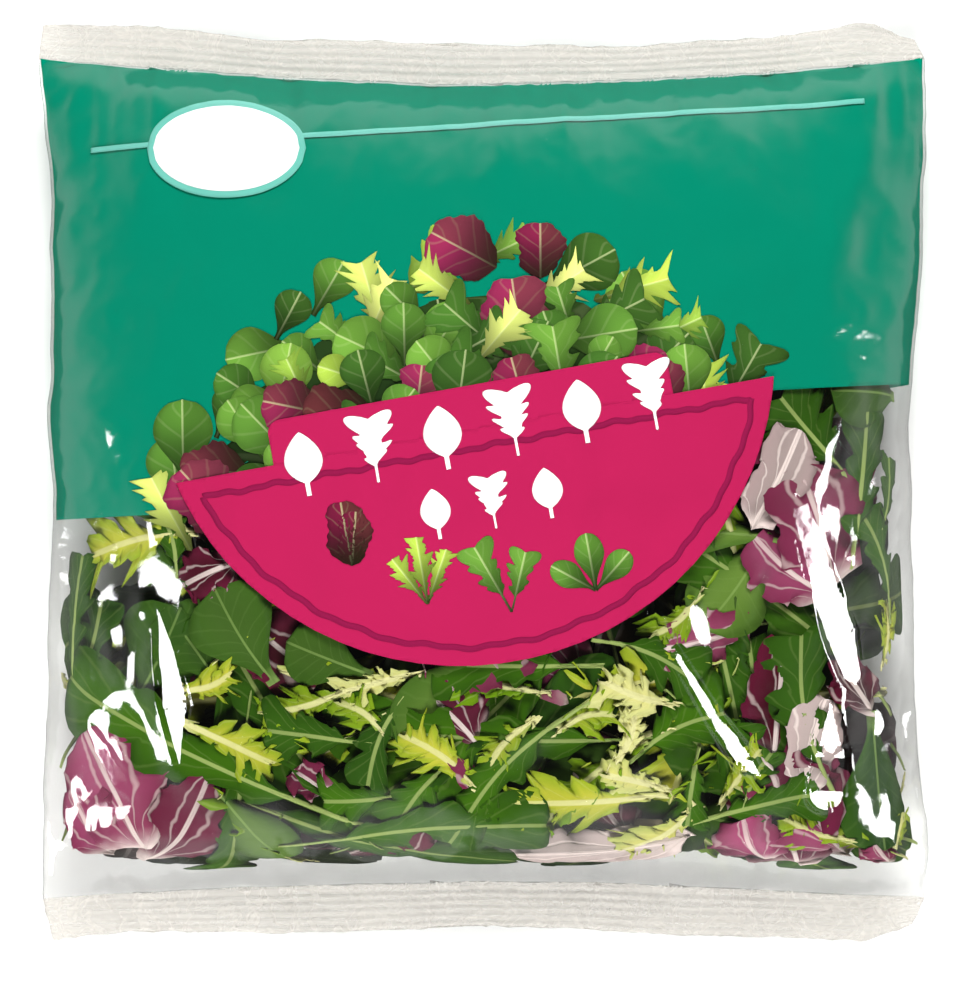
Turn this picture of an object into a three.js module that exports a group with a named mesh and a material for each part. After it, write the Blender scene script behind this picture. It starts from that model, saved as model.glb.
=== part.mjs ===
// A sealed pillow bag of mixed salad leaves, lying on its back.
// One tube of film is crimped shut at both ends, and the leaves inside fill it.
// Millimetres, +Z up. X runs across the bag, +Y points to its top seal,
// and the origin is the middle of the face that it rests on.
import * as THREE from 'three';

// Film and fill
const FILM_WIDTH = 273;      // the tube pressed flat
const PACK_HEIGHT = 45;      // floor to crown where the bag is fullest
const SEAL_THICKNESS = 0.9;  // the two crimped layers, drawn thick enough to be solid
const SIDE_FOLD_HEIGHT = 17; // height of the soft side folds beside the fullest part

// Where each seal begins in the middle of the bag, how far its corners stand out past that,
// and how far its left and right ends draw in towards the cut
const TOP_SEAL = { y: 123, cornerReach: 7.6, height: 9.5, droop: 2.5, ribs: 5, drawIn: [0, 4] };
const BOTTOM_SEAL = { y: -122, cornerReach: 4.8, height: 8.5, droop: 3, ribs: 6, drawIn: [3.5, 5] };
const CORNER_BEND = 1.4;
const RIB_HEIGHT = 0.35;

// Width of each seal strip from the left edge to the right one, as it was cut
const TOP_CUT = [11.2, 12.3, 12.8, 12, 11.2, 12.6, 13, 12.8, 12.2, 11.4, 10.4, 11, 10.6, 11.4, 13, 6.4];
const BOTTOM_CUT = [13.3, 11.8, 12.6, 13.4, 15.2, 14.8, 14.5, 14.2, 14.2, 14.4, 15.6, 15.3, 14.2, 15, 14.7, 9];

// How far each side fold stands out past the smooth section, from the bottom seal to the top one.
// Single leaves push it out and stiff creases draw it in.
const LEFT_WANDER = [-1, 1.7, 2.7, 2.8, 3.1, 2.7, 1.8, 1.6, 3.6, 2.4, 1.8, 1.4, 0.4, 1.5, 0.9];
const RIGHT_WANDER = [-0.5, 2.6, 0.8, 0.4, 1, 0.6, -0.2, 0.1, -1.2, 0.2, 1.6, 2.3, 1.8, 1.4, -1.5];

// How the fill spreads along the bag: the leaves lie fuller towards the bottom seal
const FULLEST_Y = -8;
const END_SHARPNESS = 2.6;
const CROWN_FLATNESS = 2.7;
const BASE_FLATNESS = 5;

// Mesh counts. The back lies flat on the table and needs fewer columns.
const FRONT_COLUMNS = 54;
const BACK_COLUMNS = 12;
const BODY_ROWS = 38;
const PROFILE_STEPS = 160;

// Leaves that press up against the film. Each is a shallow oval mound.
const LEAF_MOUNDS = 150;
const MOUND_HALF_LENGTH = [13, 30];
const MOUND_HALF_WIDTH = [7, 13];
const MOUND_HEIGHT = [1.2, 3.4];
const PRINTED_MOUND_SHARE = 0.45; // the printed upper half has fewer leaves behind it

// Print on the film: a green field above a slanted line, and a crimson part of a disc below a chord
const GREEN_EDGE = { left: -11.5, right: 29.8 };
const PANEL = { x: -7.2, y: 39, radius: 93, chordDrop: 24, tilt: THREE.MathUtils.degToRad(10.1) };

// Sharp folds in the film: from, to, height of the ridge and its half width
const FOLDS = [
  { from: [-128, -103], to: [-92, -110], height: 2.4, width: 4 },
  { from: [-108, -22], to: [-99, -37], height: 1.8, width: 4 },
  { from: [-99, -37], to: [-91, -88], height: 3.2, width: 6.5 },
  { from: [-99, -37], to: [-117, -44], height: 1.6, width: 4 },
  { from: [49, -24], to: [84, -88], height: 2.8, width: 5 },
  { from: [96, -8], to: [112, -92], height: 3.4, width: 7.5 },
  { from: [64, -105], to: [93, -99], height: 1.8, width: 4 },
  { from: [97, -101], to: [110, -120], height: 2, width: 4 },
  { from: [114, -52], to: [127, -86], height: 1.8, width: 4 },
  { from: [-120, 118], to: [-96, 78], height: 1.7, width: 6 },
  { from: [121, 117], to: [103, 62], height: 2, width: 7 },
];

// Gathers where the full film runs into a flat seal
const GATHER_HEIGHT = 1.5;
const GATHER_REACH = 16;
const GATHER_PITCH = 21;

const COLOURS = {
  green: new THREE.Color(0x08886b),
  crimson: new THREE.Color(0xc9285b),
  clear: new THREE.Color(0xdddad4),
  leaf: new THREE.Color(0x4d7a2c),
};

// A repeatable random number from 0 to 1
function seededRandom(seed) {
  let state = seed;
  return () => {
    state = (state * 1664525 + 1013904223) % 4294967296;
    return state / 4294967296;
  };
}

const lerp = THREE.MathUtils.lerp;
const smooth = THREE.MathUtils.smoothstep;

// Height of a smooth line through evenly spaced values, at share 0 to 1
function alongValues(values, share) {
  const at = Math.min(share, 0.9999) * (values.length - 1);
  const first = Math.floor(at);
  return lerp(values[first], values[first + 1], smooth(at - first, 0, 1));
}

// How full the bag is at y: 0 at both seals and 1 where it is fullest
function fullness(y) {
  const end = y > FULLEST_Y ? TOP_SEAL.y : BOTTOM_SEAL.y;
  const away = Math.min(1, Math.abs((y - FULLEST_Y) / (end - FULLEST_Y)));
  return (1 - away ** END_SHARPNESS) ** 0.62;
}

// 0 at the bottom seal and 1 at the top one
function alongShare(y) {
  return (y - BOTTOM_SEAL.y) / (TOP_SEAL.y - BOTTOM_SEAL.y);
}

// The three heights that shape the cross-section at y
function sectionHeights(y) {
  const full = fullness(y);
  const sealHeight = y > FULLEST_Y ? TOP_SEAL.height : BOTTOM_SEAL.height;
  const fold = lerp(sealHeight, SIDE_FOLD_HEIGHT, full);
  return {
    fold,
    crown: fold + (PACK_HEIGHT - SIDE_FOLD_HEIGHT) * full,
    base: sealHeight * (1 - smooth(full, 0, 0.42)),
  };
}

// Points of the front or back film across the bag, for a half width. They crowd towards
// the side folds, where the film turns.
function profile(heights, halfWidth, front) {
  const { fold, crown, base } = heights;
  const points = [];
  for (let i = 0; i <= PROFILE_STEPS; i++) {
    const across = Math.sin((Math.PI / 2) * (2 * i / PROFILE_STEPS - 1));
    const rise = front
      ? (crown - fold) * (1 - Math.abs(across) ** CROWN_FLATNESS) ** 0.56
      : -(fold - base) * Math.min(1, 1.08 * (1 - Math.abs(across) ** BASE_FLATNESS) ** 0.6);
    points.push(new THREE.Vector2(across * halfWidth, fold + rise));
  }
  return points;
}

function lengthOf(points) {
  return points.slice(1).reduce((sum, p, i) => sum + p.distanceTo(points[i]), 0);
}

// The tube can't stretch, so a fuller section is a narrower one: this finds its half width
function halfWidthFor(heights) {
  let low = FILM_WIDTH * 0.4;
  let high = FILM_WIDTH / 2;
  for (let step = 0; step < 24; step++) {
    const middle = (low + high) / 2;
    const girth = lengthOf(profile(heights, middle, true)) + lengthOf(profile(heights, middle, false));
    if (girth > 2 * FILM_WIDTH) high = middle;
    else low = middle;
  }
  return low;
}

// The profile again, with its points at even distances along the film
function evenlySpaced(points, columns) {
  const total = lengthOf(points);
  const spaced = [points[0].clone()];
  let passed = 0;
  for (let i = 1; i < points.length; i++) {
    const step = points[i].distanceTo(points[i - 1]);
    while (spaced.length < columns && passed + step >= (total * spaced.length) / columns) {
      const share = ((total * spaced.length) / columns - passed) / step;
      spaced.push(points[i - 1].clone().lerp(points[i], share));
    }
    passed += step;
  }
  spaced.push(points[points.length - 1].clone());
  return spaced;
}

// Mounds of single leaves, scattered once over the front
const random = seededRandom(20);
const between = ([low, high]) => lerp(low, high, random());
const mounds = Array.from({ length: LEAF_MOUNDS }, () => {
  const x = lerp(-118, 118, random());
  const y = lerp(BOTTOM_SEAL.y + 12, TOP_SEAL.y - 16, random());
  return {
    x,
    y,
    turn: random() * Math.PI,
    length: between(MOUND_HALF_LENGTH),
    width: between(MOUND_HALF_WIDTH),
    height: between(MOUND_HEIGHT) * (y > greenEdge(x) ? PRINTED_MOUND_SHARE : 1),
  };
});

function leafRelief(x, y) {
  let height = 0;
  for (const mound of mounds) {
    const along = ((x - mound.x) * Math.cos(mound.turn) + (y - mound.y) * Math.sin(mound.turn)) / mound.length;
    const across = ((y - mound.y) * Math.cos(mound.turn) - (x - mound.x) * Math.sin(mound.turn)) / mound.width;
    const inside = 1 - along * along - across * across;
    if (inside > 0) height = Math.max(height, mound.height * inside ** 0.8);
  }
  return height;
}

// A ridge that fades out at both ends and to either side
function foldRelief(x, y) {
  let height = 0;
  for (const fold of FOLDS) {
    const dx = fold.to[0] - fold.from[0];
    const dy = fold.to[1] - fold.from[1];
    const along = ((x - fold.from[0]) * dx + (y - fold.from[1]) * dy) / (dx * dx + dy * dy);
    const off = Math.abs((x - fold.from[0]) * dy - (y - fold.from[1]) * dx) / Math.hypot(dx, dy);
    const ends = smooth(along, -0.15, 0.25) * (1 - smooth(along, 0.75, 1.15));
    height += fold.height * ends * Math.max(0, 1 - off / fold.width);
  }
  return height;
}

// Gathers beside both seals, uneven in pitch and height
function gatherRelief(x, y) {
  const toSeal = Math.min(TOP_SEAL.y - y, y - BOTTOM_SEAL.y);
  const wave = Math.sin((2 * Math.PI * x) / GATHER_PITCH + 1.7 * Math.sin(x / 31) + (y > 0 ? 0 : 2));
  const uneven = 0.6 + 0.4 * Math.sin(x / 17 + (y > 0 ? 1 : 4));
  const grows = smooth(toSeal, 0, 5) * Math.exp(-Math.max(0, toSeal - 5) / GATHER_REACH);
  return GATHER_HEIGHT * wave * uneven * grows;
}

function greenEdge(x) {
  return lerp(GREEN_EDGE.left, GREEN_EDGE.right, (x + FILM_WIDTH / 2) / FILM_WIDTH);
}

function inPanel(x, y) {
  const dx = x - PANEL.x;
  const dy = y - PANEL.y;
  const above = dy * Math.cos(PANEL.tilt) - dx * Math.sin(PANEL.tilt);
  return Math.hypot(dx, dy) < PANEL.radius && above < -PANEL.chordDrop;
}

// Rows of the loft from the bottom cut to the top one. seal is 0 where a strip begins and 1 at its cut.
function rowPlaces() {
  const rows = [];
  const bottomSteps = BOTTOM_SEAL.ribs * 2;
  const topSteps = TOP_SEAL.ribs * 2;
  for (let i = bottomSteps; i >= 1; i--) rows.push({ y: BOTTOM_SEAL.y, end: BOTTOM_SEAL, seal: i / bottomSteps, rib: i % 2 });
  for (let i = 0; i <= BODY_ROWS; i++) {
    rows.push({ y: lerp(BOTTOM_SEAL.y, TOP_SEAL.y, i / BODY_ROWS), end: null, seal: 0, rib: 0 });
  }
  for (let i = 1; i <= topSteps; i++) rows.push({ y: TOP_SEAL.y, end: TOP_SEAL, seal: i / topSteps, rib: i % 2 });
  return rows;
}

// Lifts and shifts one point of a cross-section into its place on the bag
function placePoint(row, point, share, front) {
  const side = 2 * share - 1; // -1 at the left fold, 1 at the right one
  const nearTop = smooth(row.y, FULLEST_Y, TOP_SEAL.y);
  const nearBottom = smooth(-row.y, -FULLEST_Y, -BOTTOM_SEAL.y);
  const cut = row.end === TOP_SEAL ? TOP_CUT : BOTTOM_CUT;
  const strip = row.seal * alongValues(cut, share) * Math.sign(row.y);
  const reach = Math.abs(side) ** CORNER_BEND
    * (nearTop ** 3 * TOP_SEAL.cornerReach - nearBottom ** 3 * BOTTOM_SEAL.cornerReach);
  const wander = alongValues(side < 0 ? LEFT_WANDER : RIGHT_WANDER, alongShare(row.y));
  const drawIn = row.end ? row.end.drawIn[side < 0 ? 0 : 1] * row.seal : 0;
  const x = point.x + side ** 3 * (wander * (1 - row.seal) - drawIn);
  const y = row.y + reach + strip;

  const sealShare = Math.max(nearTop, nearBottom) ** 8;
  const wave = 1.5 * Math.sin(x / 19 + (row.y > 0 ? 0.6 : 2.4)) + 1.1 * Math.sin(x / 8.3);
  let z = point.y + sealShare * (wave + 2.2 * side * side);
  if (row.end) {
    z -= row.end.droop * row.seal;
    z += (row.rib && row.seal < 1 ? 1 : -1) * RIB_HEIGHT;
  }
  if (front && !row.end) {
    const inward = 1 - Math.abs(side) ** 8;
    const fromSeal = smooth(Math.min(TOP_SEAL.y - row.y, row.y - BOTTOM_SEAL.y), 2, 26);
    z += inward * (fromSeal * (leafRelief(x, y) + foldRelief(x, y)) + gatherRelief(x, row.y));
  }
  z += (front ? 0.5 : -0.5) * SEAL_THICKNESS * Math.max(row.seal > 0 ? 1 : 0, 1 - fullness(row.y));
  return new THREE.Vector3(x, y, Math.max(0, z));
}

// One closed ring of points: the front from left to right, then the back from right to left
function ringFor(row) {
  const heights = sectionHeights(row.y);
  const halfWidth = halfWidthFor(heights);
  const front = evenlySpaced(profile(heights, halfWidth, true), FRONT_COLUMNS);
  const back = evenlySpaced(profile(heights, halfWidth, false), BACK_COLUMNS);
  front[0].y += SEAL_THICKNESS / 2;
  front[FRONT_COLUMNS].y += SEAL_THICKNESS / 2;
  return [
    ...front.map((p, i) => placePoint(row, p, i / FRONT_COLUMNS, true)),
    ...back.map((p, i) => placePoint(row, p, i / BACK_COLUMNS, false)).reverse(),
  ];
}

// Triangles between neighbouring rings, and a zipped strip over the cut at each end
function loftedGeometry(rings) {
  const count = rings[0].length;
  const positions = rings.flat().flatMap((p) => [p.x, p.y, p.z]);
  const faces = [];
  for (let r = 0; r + 1 < rings.length; r++) {
    for (let i = 0; i < count; i++) {
      const a = r * count + i;
      const b = r * count + ((i + 1) % count);
      faces.push([a, b, b + count], [a, b + count, a + count]);
    }
  }
  closeCut(0, false, faces);
  closeCut((rings.length - 1) * count, true, faces);
  const geometry = new THREE.BufferGeometry();
  geometry.setAttribute('position', new THREE.Float32BufferAttribute(positions, 3));
  geometry.setIndex(faces.flat());
  return geometry;
}

// Zips the front edge of an end ring to its back edge, which has fewer points
function closeCut(start, atTop, faces) {
  const count = FRONT_COLUMNS + BACK_COLUMNS + 2;
  let front = 0;
  let back = 0;
  while (front < FRONT_COLUMNS || back < BACK_COLUMNS) {
    const stepFront = back === BACK_COLUMNS || (front + 1) / FRONT_COLUMNS <= (back + 1) / BACK_COLUMNS;
    const a = start + front;
    const b = start + count - 1 - back;
    const c = stepFront ? a + 1 : b - 1;
    faces.push(atTop ? [a, c, b] : [a, b, c]);
    if (stepFront) front++;
    else back++;
  }
}

// Colours each point by the field of print that it lies in
function paint(geometry) {
  const position = geometry.getAttribute('position');
  const colours = [];
  for (let i = 0; i < position.count; i++) {
    const x = position.getX(i);
    const y = position.getY(i);
    const inSeal = y > TOP_SEAL.y + (x / 50) ** 2 || y < BOTTOM_SEAL.y;
    let colour = y > greenEdge(x) ? COLOURS.green : COLOURS.leaf;
    if (inPanel(x, y)) colour = COLOURS.crimson;
    if (inSeal) colour = COLOURS.clear;
    colours.push(...colour.toArray());
  }
  geometry.setAttribute('color', new THREE.Float32BufferAttribute(colours, 3));
}

const bagGeometry = loftedGeometry(rowPlaces().map(ringFor));
bagGeometry.computeBoundingBox();
const centre = bagGeometry.boundingBox.getCenter(new THREE.Vector3());
paint(bagGeometry);
bagGeometry.translate(-centre.x, -centre.y, -bagGeometry.boundingBox.min.z);
bagGeometry.computeVertexNormals();

const film = new THREE.MeshStandardMaterial({ vertexColors: true, roughness: 0.28, metalness: 0 });
const bag = new THREE.Mesh(bagGeometry, film);
bag.name = 'bag';

const saladBag = new THREE.Group();
saladBag.add(bag);

export default saladBag;
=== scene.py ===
# %% [markdown]
# # A bag of salad leaves
# A pillow bag is one tube of clear film, crimped shut at both ends. The upper half of its front is
# printed green, a crimson panel hangs from the print, and the rest is a window on the leaves.
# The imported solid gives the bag's form, and this script turns it into film, print and leaves.

# %% Frame, tools and units
import math
import random

import bmesh
import bpy
from mathutils import Matrix, Vector, noise
from mathutils.bvhtree import BVHTree


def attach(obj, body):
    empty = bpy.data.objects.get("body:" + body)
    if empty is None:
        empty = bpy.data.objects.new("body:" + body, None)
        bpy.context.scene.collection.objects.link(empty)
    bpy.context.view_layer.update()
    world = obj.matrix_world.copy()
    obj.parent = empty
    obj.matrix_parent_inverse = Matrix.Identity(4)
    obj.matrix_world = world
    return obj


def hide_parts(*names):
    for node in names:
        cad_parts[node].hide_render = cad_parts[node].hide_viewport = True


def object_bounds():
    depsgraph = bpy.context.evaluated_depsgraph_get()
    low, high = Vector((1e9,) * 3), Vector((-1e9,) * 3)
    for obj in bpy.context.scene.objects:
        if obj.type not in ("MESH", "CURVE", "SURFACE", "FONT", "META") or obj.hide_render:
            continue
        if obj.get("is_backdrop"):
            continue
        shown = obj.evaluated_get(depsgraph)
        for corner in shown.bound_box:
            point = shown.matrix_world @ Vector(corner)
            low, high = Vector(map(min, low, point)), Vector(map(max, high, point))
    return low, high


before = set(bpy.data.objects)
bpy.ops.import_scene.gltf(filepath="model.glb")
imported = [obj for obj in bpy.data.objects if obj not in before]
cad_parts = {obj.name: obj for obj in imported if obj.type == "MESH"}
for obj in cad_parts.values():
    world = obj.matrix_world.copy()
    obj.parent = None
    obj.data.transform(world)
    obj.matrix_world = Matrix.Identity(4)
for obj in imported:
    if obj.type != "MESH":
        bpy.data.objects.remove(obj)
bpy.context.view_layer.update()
bag_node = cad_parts["bag"]
MM = 0.001

# %% [markdown]
# ## Camera
# A full bag of leaves can't stand, so it lies on its back and the camera looks straight down on it.

# %% Camera
FRAME_PIXELS = 986           # the long side of the photograph
PIXEL = 0.3056 * MM          # what one pixel of it covers at the height of the side folds
FOLD_PLANE = 15 * MM
LENS = 100
SENSOR = 36

camera_data = bpy.data.cameras.new("camera")
camera_data.lens = LENS
camera_data.sensor_width = SENSOR
camera = bpy.data.objects.new("camera", camera_data)
camera.location = (-0.9 * MM, -3.2 * MM, FOLD_PLANE + FRAME_PIXELS * PIXEL * LENS / SENSOR)
bpy.context.scene.collection.objects.link(camera)
bpy.context.scene.camera = camera
print("camera height, in mm:", round(camera.location.z / MM))

# %% [markdown]
# ## Materials
# Every finish is a small tree of nodes. One helper adds a node with its settings and links, so that a
# material reads from top to bottom like a recipe. Colours are written as sRGB hex, as a colour
# picker gives them, and one function turns them to the linear values that Cycles works with.

# %% Node helpers


def linear(hex_colour, alpha=1.0):
    """sRGB hex to linear RGBA."""
    channels = [int(hex_colour[i:i + 2], 16) / 255 for i in (1, 3, 5)]
    curved = [c / 12.92 if c <= 0.04045 else ((c + 0.055) / 1.055) ** 2.4 for c in channels]
    return (*curved, alpha)


def new_material(name):
    """An empty node tree with its output, as (material, tree, output)."""
    material = bpy.data.materials.new(name)
    material.use_nodes = True
    tree = material.node_tree
    tree.nodes.clear()
    return material, tree, tree.nodes.new("ShaderNodeOutputMaterial")


def add(tree, kind, settings=None, **inputs):
    """Adds a node. settings are its own properties, and inputs are sockets by name or number
    (as _0), each a value, a colour or the socket that feeds it."""
    node = tree.nodes.new("ShaderNode" + kind)
    for key, value in (settings or {}).items():
        setattr(node, key, value)
    for key, value in inputs.items():
        socket = node.inputs[int(key[1:]) if key[0] == "_" else key.replace("_", " ")]
        if isinstance(value, bpy.types.NodeSocket):
            tree.links.new(value, socket)
        else:
            socket.default_value = value
    return node


def maths(tree, operation, a, b=0.0, clamp=False):
    """One sum on numbers or sockets."""
    return add(tree, "Math", {"operation": operation, "use_clamp": clamp}, _0=a, _1=b).outputs[0]


def ramp(tree, value, low, high):
    """0 below low and 1 above high, with a smooth step between."""
    settings = {"interpolation_type": "SMOOTHSTEP", "clamp": True}
    return add(tree, "MapRange", settings, Value=value, From_Min=low, From_Max=high).outputs[0]


def blend_colour(tree, share, a, b):
    """Colour a where share is 0 and b where it is 1."""
    return add(tree, "Mix", {"data_type": "RGBA"}, _0=share, _6=a, _7=b).outputs[2]


def tinted(tree, share, colour, factor):
    """A colour, multiplied by factor where share is 1."""
    settings = {"data_type": "RGBA", "blend_type": "MULTIPLY"}
    return add(tree, "Mix", settings, _0=share, _6=colour, _7=factor).outputs[2]


# %% [markdown]
# The leaves and the print need soft even light, but the film mirrors whatever is bright, and a wide
# lamp would wash out the print behind it. So the lamps are sorted by rays, as a photographer sorts them
# with flags: the fills are seen by matt surfaces only, and the cards, which draw the white patches on
# the film, by mirrored rays only. The sky is dim overhead for the same reason.

# %% Lights
SIDE_LIGHT = (0.45, 0.45, 0.45, 1)
ZENITH_LIGHT = (0.02, 0.02, 0.02, 1)


def soft_light(name, place, size, power, target=(0, 0, 0.02)):
    """A rectangular lamp at place that faces target."""
    data = bpy.data.lights.new(name, "AREA")
    data.shape = "RECTANGLE"
    data.size, data.size_y = size
    data.energy = power
    lamp = bpy.data.objects.new(name, data)
    lamp.location = place
    lamp.rotation_euler = (Vector(target) - Vector(place)).to_track_quat("-Z", "Y").to_euler()
    bpy.context.scene.collection.objects.link(lamp)
    return lamp


fills = (
    soft_light("fill_top", (0.2, 1.2, 0.85), (0.9, 0.5), 31),
    soft_light("fill_front", (-0.25, -1.05, 0.8), (0.9, 0.5), 24),
)
cards = {
    "right": soft_light("card_right", (0.72, -0.22, 0.6), (0.6, 0.2), 6.4, (0, -0.22, 0.02)),
    "left": soft_light("card_left", (-0.7, -0.26, 0.6), (0.42, 0.14), 3, (0, -0.26, 0.02)),
}
for lamp in fills:
    lamp.visible_glossy = False
for lamp in cards.values():
    lamp.visible_diffuse = False
    lamp.visible_transmission = False
print("lamps:", len(fills), "fills and", len(cards), "cards")

world = bpy.data.worlds.new("studio")
bpy.context.scene.world = world
world.use_nodes = True
tree = world.node_tree
direction = add(tree, "TexCoord").outputs["Generated"]
height = add(tree, "SeparateXYZ", Vector=direction).outputs[2]
sky = blend_colour(tree, ramp(tree, height, 0.25, 0.72), SIDE_LIGHT, ZENITH_LIGHT)
sky = blend_colour(tree, ramp(tree, height, -0.1, 0.05), ZENITH_LIGHT, sky)
tree.links.new(sky, tree.nodes["Background"].inputs["Color"])
bpy.context.scene.view_settings.view_transform = "Standard"

# %% [markdown]
# The bag lies on a large sheet of matt white paper. Paper scatters light evenly, so the eye sees plain
# white with a soft shadow close to the bag. One square face is enough for it.

# %% Floor
FLOOR_SIZE = 3                  # m, from its middle to its edge

floor_material, tree, output = new_material("matt_white_paper")
paper = add(tree, "BsdfPrincipled", Base_Color=linear("#f4f4f2"), Roughness=0.9,
            Specular_IOR_Level=0.0)
tree.links.new(paper.outputs[0], output.inputs[0])

floor_mesh = bpy.data.meshes.new("floor")
builder = bmesh.new()
bmesh.ops.create_grid(builder, x_segments=1, y_segments=1, size=FLOOR_SIZE)
builder.to_mesh(floor_mesh)
builder.free()
floor = bpy.data.objects.new("floor", floor_mesh)
floor_mesh.materials.append(floor_material)
bpy.context.scene.collection.objects.link(floor)
floor.visible_glossy = False    # steep film would mirror it and turn the print pale
floor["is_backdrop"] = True
print("floor, in m:", [round(v) for v in floor.dimensions])

# %% [markdown]
# ## The film
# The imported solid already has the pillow's form, its gathers and its sharp folds, in flat triangles.
# The film is a copy of it: the triangles are joined back to quads, so that subdivision can round
# them, and then the fine crackle that stiff film has is pushed into the vertices. Making the film by
# hand from a grid would lose the match with the solid, so the copy is the better start.

# %% Film shape
FINE_WRINKLE = (0.09 * MM, 0.26 * MM)     # in the taut middle and at the folds and seals
FINE_WRINKLE_SIZE = 8 * MM
BROAD_WRINKLE = (0.3 * MM, 0.6 * MM)
BROAD_WRINKLE_SIZE = 26 * MM
PLEAT = 0.7 * MM             # pleats run in from the seals
PLEAT_SIZE = Vector((7 * MM, 60 * MM, 60 * MM))
TAUT_HALF = (75 * MM, 80 * MM)       # the taut middle's half width and half length
BAG_HALF = (136 * MM, 122 * MM)
FLAT_HEIGHT = 6 * MM         # below it the film lies on the floor and its wrinkles fade
SUBDIVISIONS = 2
QUAD_ANGLE = math.radians(60)
WELD = 0.01 * MM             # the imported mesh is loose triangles, whose corners are joined within this


def object_from(name, builder, material):
    """Makes a smooth object of a bmesh, links it and frees the bmesh."""
    mesh = bpy.data.meshes.new(name)
    builder.to_mesh(mesh)
    builder.free()
    mesh.materials.append(material)
    mesh.shade_smooth()
    made = bpy.data.objects.new(name, mesh)
    bpy.context.scene.collection.objects.link(made)
    return made


def apply_modifiers(thing):
    """Bakes an object's modifiers into its mesh."""
    evaluated = thing.evaluated_get(bpy.context.evaluated_depsgraph_get())
    finished = bpy.data.meshes.new_from_object(evaluated)
    thing.modifiers.clear()
    thing.data = finished


def smooth_step(value, low, high):
    """0 below low and 1 above high, smooth between."""
    share = min(1, max(0, (value - low) / (high - low)))
    return share * share * (3 - 2 * share)


def ridged(place):
    """Noise with sharp ridges, from about -0.5 to 0.5."""
    return 0.5 - 2 * abs(noise.noise(place))


def wrinkle(place):
    """How far the film stands out at a place: broad buckles, a finer crackle and pleats."""
    at_folds, at_seals = (
        smooth_step(abs(place[axis]), TAUT_HALF[axis], BAG_HALF[axis]) for axis in (0, 1))
    slack = max(at_folds, at_seals)
    pleat = ridged(Vector(p / size for p, size in zip(place, PLEAT_SIZE)))
    height = PLEAT * at_seals * pleat
    for (calm, loose), size in ((BROAD_WRINKLE, BROAD_WRINKLE_SIZE), (FINE_WRINKLE, FINE_WRINKLE_SIZE)):
        height += (calm + (loose - calm) * slack) * ridged(place / size)
    return height


film_material, film_nodes, film_output = new_material("clear_polypropylene_film")
builder = bmesh.new()
builder.from_mesh(bag_node.data)
bmesh.ops.remove_doubles(builder, verts=builder.verts, dist=WELD)
bmesh.ops.join_triangles(
    builder, faces=builder.faces, angle_face_threshold=QUAD_ANGLE, angle_shape_threshold=QUAD_ANGLE)
film = object_from("film", builder, film_material)
rounder = film.modifiers.new("rounder", "SUBSURF")
rounder.levels = rounder.render_levels = SUBDIVISIONS
apply_modifiers(film)
facets = film.modifiers.new("facets", "TRIANGULATE")
facets.quad_method = "FIXED"
apply_modifiers(film)
shifts = [v.normal * wrinkle(v.co) * min(1, v.co.z / FLAT_HEIGHT) for v in film.data.vertices]
for vertex, shift in zip(film.data.vertices, shifts):
    vertex.co += shift
print("film triangles:", len(film.data.polygons))

# %% [markdown]
# Stiff film under tension breaks into a few flat strips between sharp creases, and each strip shows as
# one bright patch. Here each is a band along a line: across it the film is tilted about that line, just
# enough to mirror one of the cards to the viewer. The line itself runs straight from point to point at
# the film's own height. The facets there are halved first, so that the creases come out sharp.

# %% Flat strips
# Each has its card and the points of its middle line, as x, y and half width in mm.
FLAT_STRIPS = (
    ("left", ((-97, -36, 1), (-94, -50, 4), (-91.5, -66, 5.4), (-91, -80, 2.4), (-91, -84, 1))),
    ("right", ((50, -38, 2), (57, -51, 2.4), (68, -69, 3.2), (78, -83, 4.2), (83.5, -88, 1.4))),
    ("right", ((94, -7, 4.6), (100, -27, 5.2), (106.5, -45, 6), (110, -57, 4.2))),
    ("right", ((104, -66, 1.4), (104, -82, 6.2), (103, -93, 7), (105, -98, 2))),
    ("left", ((-119, -72, 1), (-115, -80, 3.2), (-109, -90, 3.6), (-106, -95, 1))),
)
STRIP_EDGE = 1 * MM        # over which a strip's edge bends
RAY_START = 0.2            # m above or below the bag, where rays that look for the film start
MEAN_REACH = 4 * MM        # a strip's middle line lies at the film's mean height within this
MEAN_RAYS = 8
DOWN = Vector((0, 0, -1))
UP = Vector((0, 0, 1))


def in_strip(points, place):
    """How far place lies inside a strip, which is negative outside it, how far it is off to the side
    of the strip's middle line, the direction to that side, and how far along the line it is."""
    best = None
    for index, ((x0, y0, half0), (x1, y1, half1)) in enumerate(zip(points, points[1:])):
        start, along = Vector((x0, y0)) * MM, Vector((x1 - x0, y1 - y0)) * MM
        share = min(1, max(0, (place - start).dot(along) / along.length_squared))
        middle = start + along * share
        sideways = Vector((along.y, -along.x)).normalized()
        inside = (half0 + (half1 - half0) * share) * MM - (place - middle).length
        if best is None or inside > best[0]:
            best = (inside, (place - middle).dot(sideways), sideways, index + share)
    return best


def on_strip(points, place, margin):
    """True for a place on the front that a strip takes up, or that lies within margin of it."""
    return place.z > FOLD_PLANE and in_strip(points, Vector(place[:2]))[0] > -margin


def mean_height(search, x, y):
    """The mean height of the front around a place."""
    heights = []
    for turn in range(MEAN_RAYS):
        place = Vector((x + MEAN_REACH * math.cos(turn), y + MEAN_REACH * math.sin(turn), RAY_START))
        heights.append(search.ray_cast(place, DOWN)[0].z)
    return sum(heights) / len(heights)


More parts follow.
